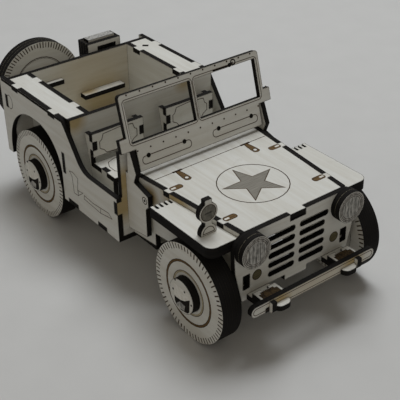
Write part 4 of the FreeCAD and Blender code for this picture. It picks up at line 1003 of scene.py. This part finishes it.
# %% [markdown]
# The tread is a crown of short cuts near each tyre's rim, and rivets run in rows along
# the windscreen. A loop could copy a bar a hundred times, but both repeat by a rule, and
# Geometry Nodes keep that rule open to change: instances on a circle or on a line, made
# real at the end. Every size is a named input of the tree.

# %% Running a Geometry Nodes tree
def new_tree(name, sockets):
    """A Geometry Nodes tree with named inputs, its input node and its output node."""
    tree = bpy.data.node_groups.new(name, "GeometryNodeTree")
    for label, kind in sockets:
        tree.interface.new_socket(label, in_out="INPUT", socket_type="NodeSocket" + kind)
    tree.interface.new_socket("Geometry", in_out="OUTPUT", socket_type="NodeSocketGeometry")
    return tree, add(tree, "NodeGroupInput").outputs, add(tree, "NodeGroupOutput")


def finish_tree(tree, geometry, material, result):
    """Makes the instances real, gives them their finish and hands them to the output."""
    solid = add(tree, "GeometryNodeRealizeInstances", {"Geometry": geometry})
    finished = add(tree, "GeometryNodeSetMaterial", {"Geometry": solid.outputs[0], "Material": material})
    tree.links.new(finished.outputs[0], result.inputs[0])


def grow(name, tree, sizes, body):
    """Runs the tree once with the given sizes and keeps the result as a plain mesh."""
    host = put_in_scene("host", bpy.data.meshes.new("host"))
    modifier = host.modifiers.new("grow", "NODES")
    modifier.node_group = tree
    for socket in tree.interface.items_tree:
        if socket.in_out == "INPUT":
            modifier[socket.identifier] = sizes[socket.name]
    ready = host.evaluated_get(bpy.context.evaluated_depsgraph_get())
    mesh = bpy.data.meshes.new_from_object(ready)
    mesh.name = name
    bpy.data.objects.remove(host)
    keep(name, mesh, body)


# %% [markdown]
# One tick is a flat bar. The tree stands it on each point of a circle, aims it outwards,
# leans it a little and varies its length and width with a fixed seed, because no two
# cuts of the beam start and stop alike. Then it lays the crown flat on two faces.

# %% The tree of tread ticks
TICK_LEAST, TICK_MOST = (0.7, 0.8, 1.0), (1.1, 1.2, 1.0)

tread, given, result = new_tree("tread_ticks", [
    ("Radius", "Float"), ("Count", "Int"), ("Bar", "Vector"), ("Slant", "Float"), ("Seed", "Int"),
    ("First place", "Vector"), ("First turn", "Vector"), ("Second place", "Vector"),
    ("Second turn", "Vector"), ("Finish", "Material"),
])
circle = add(tread, "GeometryNodeMeshCircle", {"Vertices": given["Count"], "Radius": given["Radius"]})
bar = add(tread, "GeometryNodeMeshCube", {"Size": given["Bar"]})
position = add(tread, "GeometryNodeInputPosition")
aim = add(tread, "FunctionNodeAlignRotationToVector", {"Vector": position.outputs[0]}, axis="X")
vary = add(tread, "FunctionNodeRandomValue", {
    "Min": TICK_LEAST, "Max": TICK_MOST, "Seed": given["Seed"],
}, data_type="FLOAT_VECTOR")
crown = add(tread, "GeometryNodeInstanceOnPoints", {
    "Points": circle.outputs[0], "Instance": bar.outputs[0], "Rotation": aim.outputs[0],
    "Scale": vary.outputs[0],
})
lean = add(tread, "ShaderNodeCombineXYZ", {"Z": given["Slant"]})
crown = add(tread, "GeometryNodeRotateInstances", {
    "Instances": crown.outputs[0], "Rotation": lean.outputs[0], "Local Space": True,
})
both = add(tread, "GeometryNodeJoinGeometry")
for which in ("First", "Second"):
    placed = add(tread, "GeometryNodeTransform", {
        "Geometry": crown.outputs[0], "Translation": given[which + " place"],
        "Rotation": given[which + " turn"],
    })
    tread.links.new(placed.outputs[0], both.inputs[0])
finish_tree(tread, both.outputs[0], given["Finish"], result)
print("tread ticks take", len(given) - 1, "sizes")


# %% [markdown]
# Each road tyre has a crown of ticks on its outer face and one on its inner face. An
# axle's two outer crowns are one piece and its two inner ones another, and both ride on
# the axle. The spare wheel's ticks are finer and more, and they ride on the body. The
# sizes are in two lists, one for the road tyres and one for the spare, and each run adds
# its seed and its two faces.

# %% Ticks on the tyres
ROAD_TICKS = {
    "Radius": 26.5 * MM, "Count": 65, "Bar": (3.5 * MM, 0.72 * MM, 0.1 * MM), "Slant": 0.08,
    "Finish": INKS["line"][0],
}
SPARE_TICKS = {
    "Radius": 26.2 * MM, "Count": 82, "Bar": (3.8 * MM, 0.65 * MM, 0.1 * MM), "Slant": 0.1,
    "Finish": INKS["line"][0],
}
QUARTER = math.pi / 2
OUTER_FACE = abs(corner_low("front_tyre_right").y)
INNER_FACE = abs(corner_high("front_tyre_right").y)

for axle, body in ((FRONT_AXLE, "front_axle"), (REAR_AXLE, "rear_axle")):
    for ending, face, seed, turn in (("_tread_ticks", OUTER_FACE, 4, QUARTER),
                                     ("_inner_ticks", INNER_FACE, 7, -QUARTER)):
        grow(body + ending, tread, {
            **ROAD_TICKS, "Seed": seed,
            "First place": Vector((axle.x, -face, axle.z)) * MM, "First turn": (turn, 0.0, 0.0),
            "Second place": Vector((axle.x, face, axle.z)) * MM, "Second turn": (-turn, 0.0, 0.0),
        }, body)
spare_front, spare_rear = corner_high("spare_tyre").x, corner_low("spare_tyre").x
grow("spare_tread_ticks", tread, {
    **SPARE_TICKS, "Seed": 9,
    "First place": Vector((spare_front, SPARE_CENTRE.y, SPARE_CENTRE.z)) * MM,
    "First turn": (0.0, QUARTER, 0.0),
    "Second place": Vector((spare_rear, SPARE_CENTRE.y, SPARE_CENTRE.z)) * MM,
    "Second turn": (0.0, -QUARTER, 0.0),
}, "body")


# %% [markdown]
# The windscreen frame is riveted above and below its panes. The heads could be discs of
# its drawing, but a line of points keeps them evenly spaced whatever their number. Each
# point carries one small round head, turned to lie on the sloping plate.

# %% The tree of rivets
HEAD_CORNERS = 12

rivets, given, result = new_tree("rivet_rows", [
    ("Count", "Int"), ("Upper start", "Vector"), ("Upper end", "Vector"), ("Lower start", "Vector"),
    ("Lower end", "Vector"), ("Head radius", "Float"), ("Head height", "Float"), ("Lean", "Vector"),
    ("Finish", "Material"),
])
head = add(rivets, "GeometryNodeMeshCylinder", {
    "Vertices": HEAD_CORNERS, "Radius": given["Head radius"], "Depth": given["Head height"],
})
rows = add(rivets, "GeometryNodeJoinGeometry")
for row in ("Upper", "Lower"):
    points = add(rivets, "GeometryNodeMeshLine", {
        "Count": given["Count"], "Start Location": given[row + " start"], "Offset": given[row + " end"],
    }, mode="END_POINTS")
    placed = add(rivets, "GeometryNodeInstanceOnPoints", {
        "Points": points.outputs[0], "Instance": head.outputs[0], "Rotation": given["Lean"],
    })
    rivets.links.new(placed.outputs[0], rows.inputs[0])
finish_tree(rivets, rows.outputs[0], given["Finish"], result)
print("rivet rows take", len(given) - 1, "sizes")


# %% [markdown]
# The rows run the same way as the windscreen's drawing, so their ends are given across
# the screen and up its slope, and one function turns them into places.

# %% Rivets on the windscreen
RIVET_COUNT, RIVET_RADIUS, RIVET_HEIGHT = 11, 0.5, 0.2
RIVET_REACH, RIVET_HIGH, RIVET_LOW = 42.0, 42.4, 11.6


def on_screen(across_screen, up_screen):
    """A place on the windscreen's front face, in metres."""
    level = reach("windscreen", SCREEN_ACROSS)
    up_plate = SCREEN_UP * (SCREEN_FOOT + up_screen)
    return (SCREEN_ACROSS * level + Vector((0, across_screen, 0)) + up_plate) * MM


grow("windscreen_rivets", rivets, {
    "Count": RIVET_COUNT, "Head radius": RIVET_RADIUS * MM, "Head height": RIVET_HEIGHT * MM,
    "Upper start": on_screen(-RIVET_REACH, RIVET_HIGH), "Upper end": on_screen(RIVET_REACH, RIVET_HIGH),
    "Lower start": on_screen(-RIVET_REACH, RIVET_LOW), "Lower end": on_screen(RIVET_REACH, RIVET_LOW),
    "Lean": (0.0, QUARTER - RAKE, 0.0), "Finish": INKS["line"][0],
}, "body")


# %% [markdown]
# The photograph looks down on the toy's right front corner through a long lens. A camera
# can be turned by eye until it fits, but here its turn, rise, roll and distance were
# worked out from the toy's own corners, so they stand as angles round one target point.

# %% Camera
VIEW_TURN, VIEW_RISE, VIEW_ROLL = math.radians(-36.99), math.radians(32.35), math.radians(-1.09)
VIEW_DISTANCE = 518.2
VIEW_TARGET = Vector((HINGE_X + 18.7, -16.4, 49.9))
LENS, SENSOR = 85.1, 36.0
NEAREST = 0.01

out = Vector((math.cos(VIEW_RISE) * math.cos(VIEW_TURN), math.cos(VIEW_RISE) * math.sin(VIEW_TURN),
              math.sin(VIEW_RISE)))
camera = put_in_scene("camera", bpy.data.cameras.new("camera"))
camera.data.lens = LENS
camera.data.sensor_width = SENSOR
camera.data.clip_start = NEAREST
camera.location = (VIEW_TARGET + out * VIEW_DISTANCE) * MM
camera.rotation_mode = "QUATERNION"
upright = (-out).to_track_quat("-Z", "Y")
camera.rotation_quaternion = upright @ Matrix.Rotation(VIEW_ROLL, 3, "Z").to_quaternion()
bpy.context.scene.camera = camera
print("camera", round(camera.location.length, 3), "m from the origin")


# %% [markdown]
# The toy stands on a plain pale floor of matt card, which gives the eye a soft even grey
# with a faint speckle. It could be a curved backdrop, but seen from above only the floor
# shows, so one large square does. It is staging and is no part of the toy.

# %% Floor
HALF_FLOOR = 3.0
SPECKLE = (25.0, 25.0, 25.0)
CARD_DARK, CARD_PALE = "#c9c8c5", "#d0cfcc"

floor_mesh = bpy.data.meshes.new("floor")
corners = [(a * HALF_FLOOR, b * HALF_FLOOR, 0) for a, b in ((-1, -1), (1, -1), (1, 1), (-1, 1))]
floor_mesh.from_pydata(corners, [], [(0, 1, 2, 3)])
floor = put_in_scene("floor", floor_mesh)
card, tree = new_material("pale_floor")
speckle = sized_noise(tree, add(tree, "ShaderNodeTexCoord"), SPECKLE, 4.0)
tone = add(tree, "ShaderNodeMix", {0: speckle, MIX_LOW: linear(CARD_DARK), MIX_HIGH: linear(CARD_PALE)},
           data_type="RGBA")
matt = add(tree, "ShaderNodeBsdfPrincipled", {"Base Color": tone.outputs[MIX_RESULT], "Roughness": 0.8})
add(tree, "ShaderNodeOutputMaterial", {0: matt.outputs[0]})
floor_mesh.materials.append(card)
print("floor", 2 * HALF_FLOOR, "m wide")


# %% [markdown]
# Soft studio light shows the pale birch and the dark edges plainly. The main lamp hangs
# above and behind, as a window does, so that what lies flat is bright and a little cool,
# and what stands is in half shade. A weak warm fill keeps the shade open. The camera sees
# a brighter world than the one that lights the toy, which keeps the background pale.

# %% Lamps and world
AIM = (0, 0, 0.03)
WINDOW = {"place": (-0.35, 0.45, 1.5), "size": 0.8, "power": 16.0, "tint": "#f6faff"}
FILL = {"place": (0.9, -1.0, 0.8), "size": 1.2, "power": 1.5, "tint": "#fff0dc"}
WORLD_TINT = "#f4f0e8"
WORLD_LIGHT, WORLD_SEEN = 0.2, 0.62


def lamp(name, place, size, power, tint):
    """Square area light that looks at the toy, in metres and watts."""
    light = bpy.data.lights.new(name, "AREA")
    light.size = size
    light.energy = power
    light.color = linear(tint)[:3]
    made = put_in_scene(name, light)
    made.location = place
    made.rotation_euler = (Vector(AIM) - Vector(place)).to_track_quat("-Z", "Y").to_euler()


lamp("window", **WINDOW)
lamp("fill", **FILL)
world = bpy.data.worlds.new("studio")
bpy.context.scene.world = world
world.use_nodes = True
background = world.node_tree.nodes["Background"]
background.inputs["Color"].default_value = linear(WORLD_TINT)
seen = add(world.node_tree, "ShaderNodeLightPath")
strength = add(world.node_tree, "ShaderNodeMapRange", {
    "Value": seen.outputs["Is Camera Ray"], "To Min": WORLD_LIGHT, "To Max": WORLD_SEEN,
})
world.node_tree.links.new(strength.outputs[0], background.inputs["Strength"])
bpy.context.scene.view_settings.view_transform = "Standard"
print("lamps:", len(bpy.data.lights))
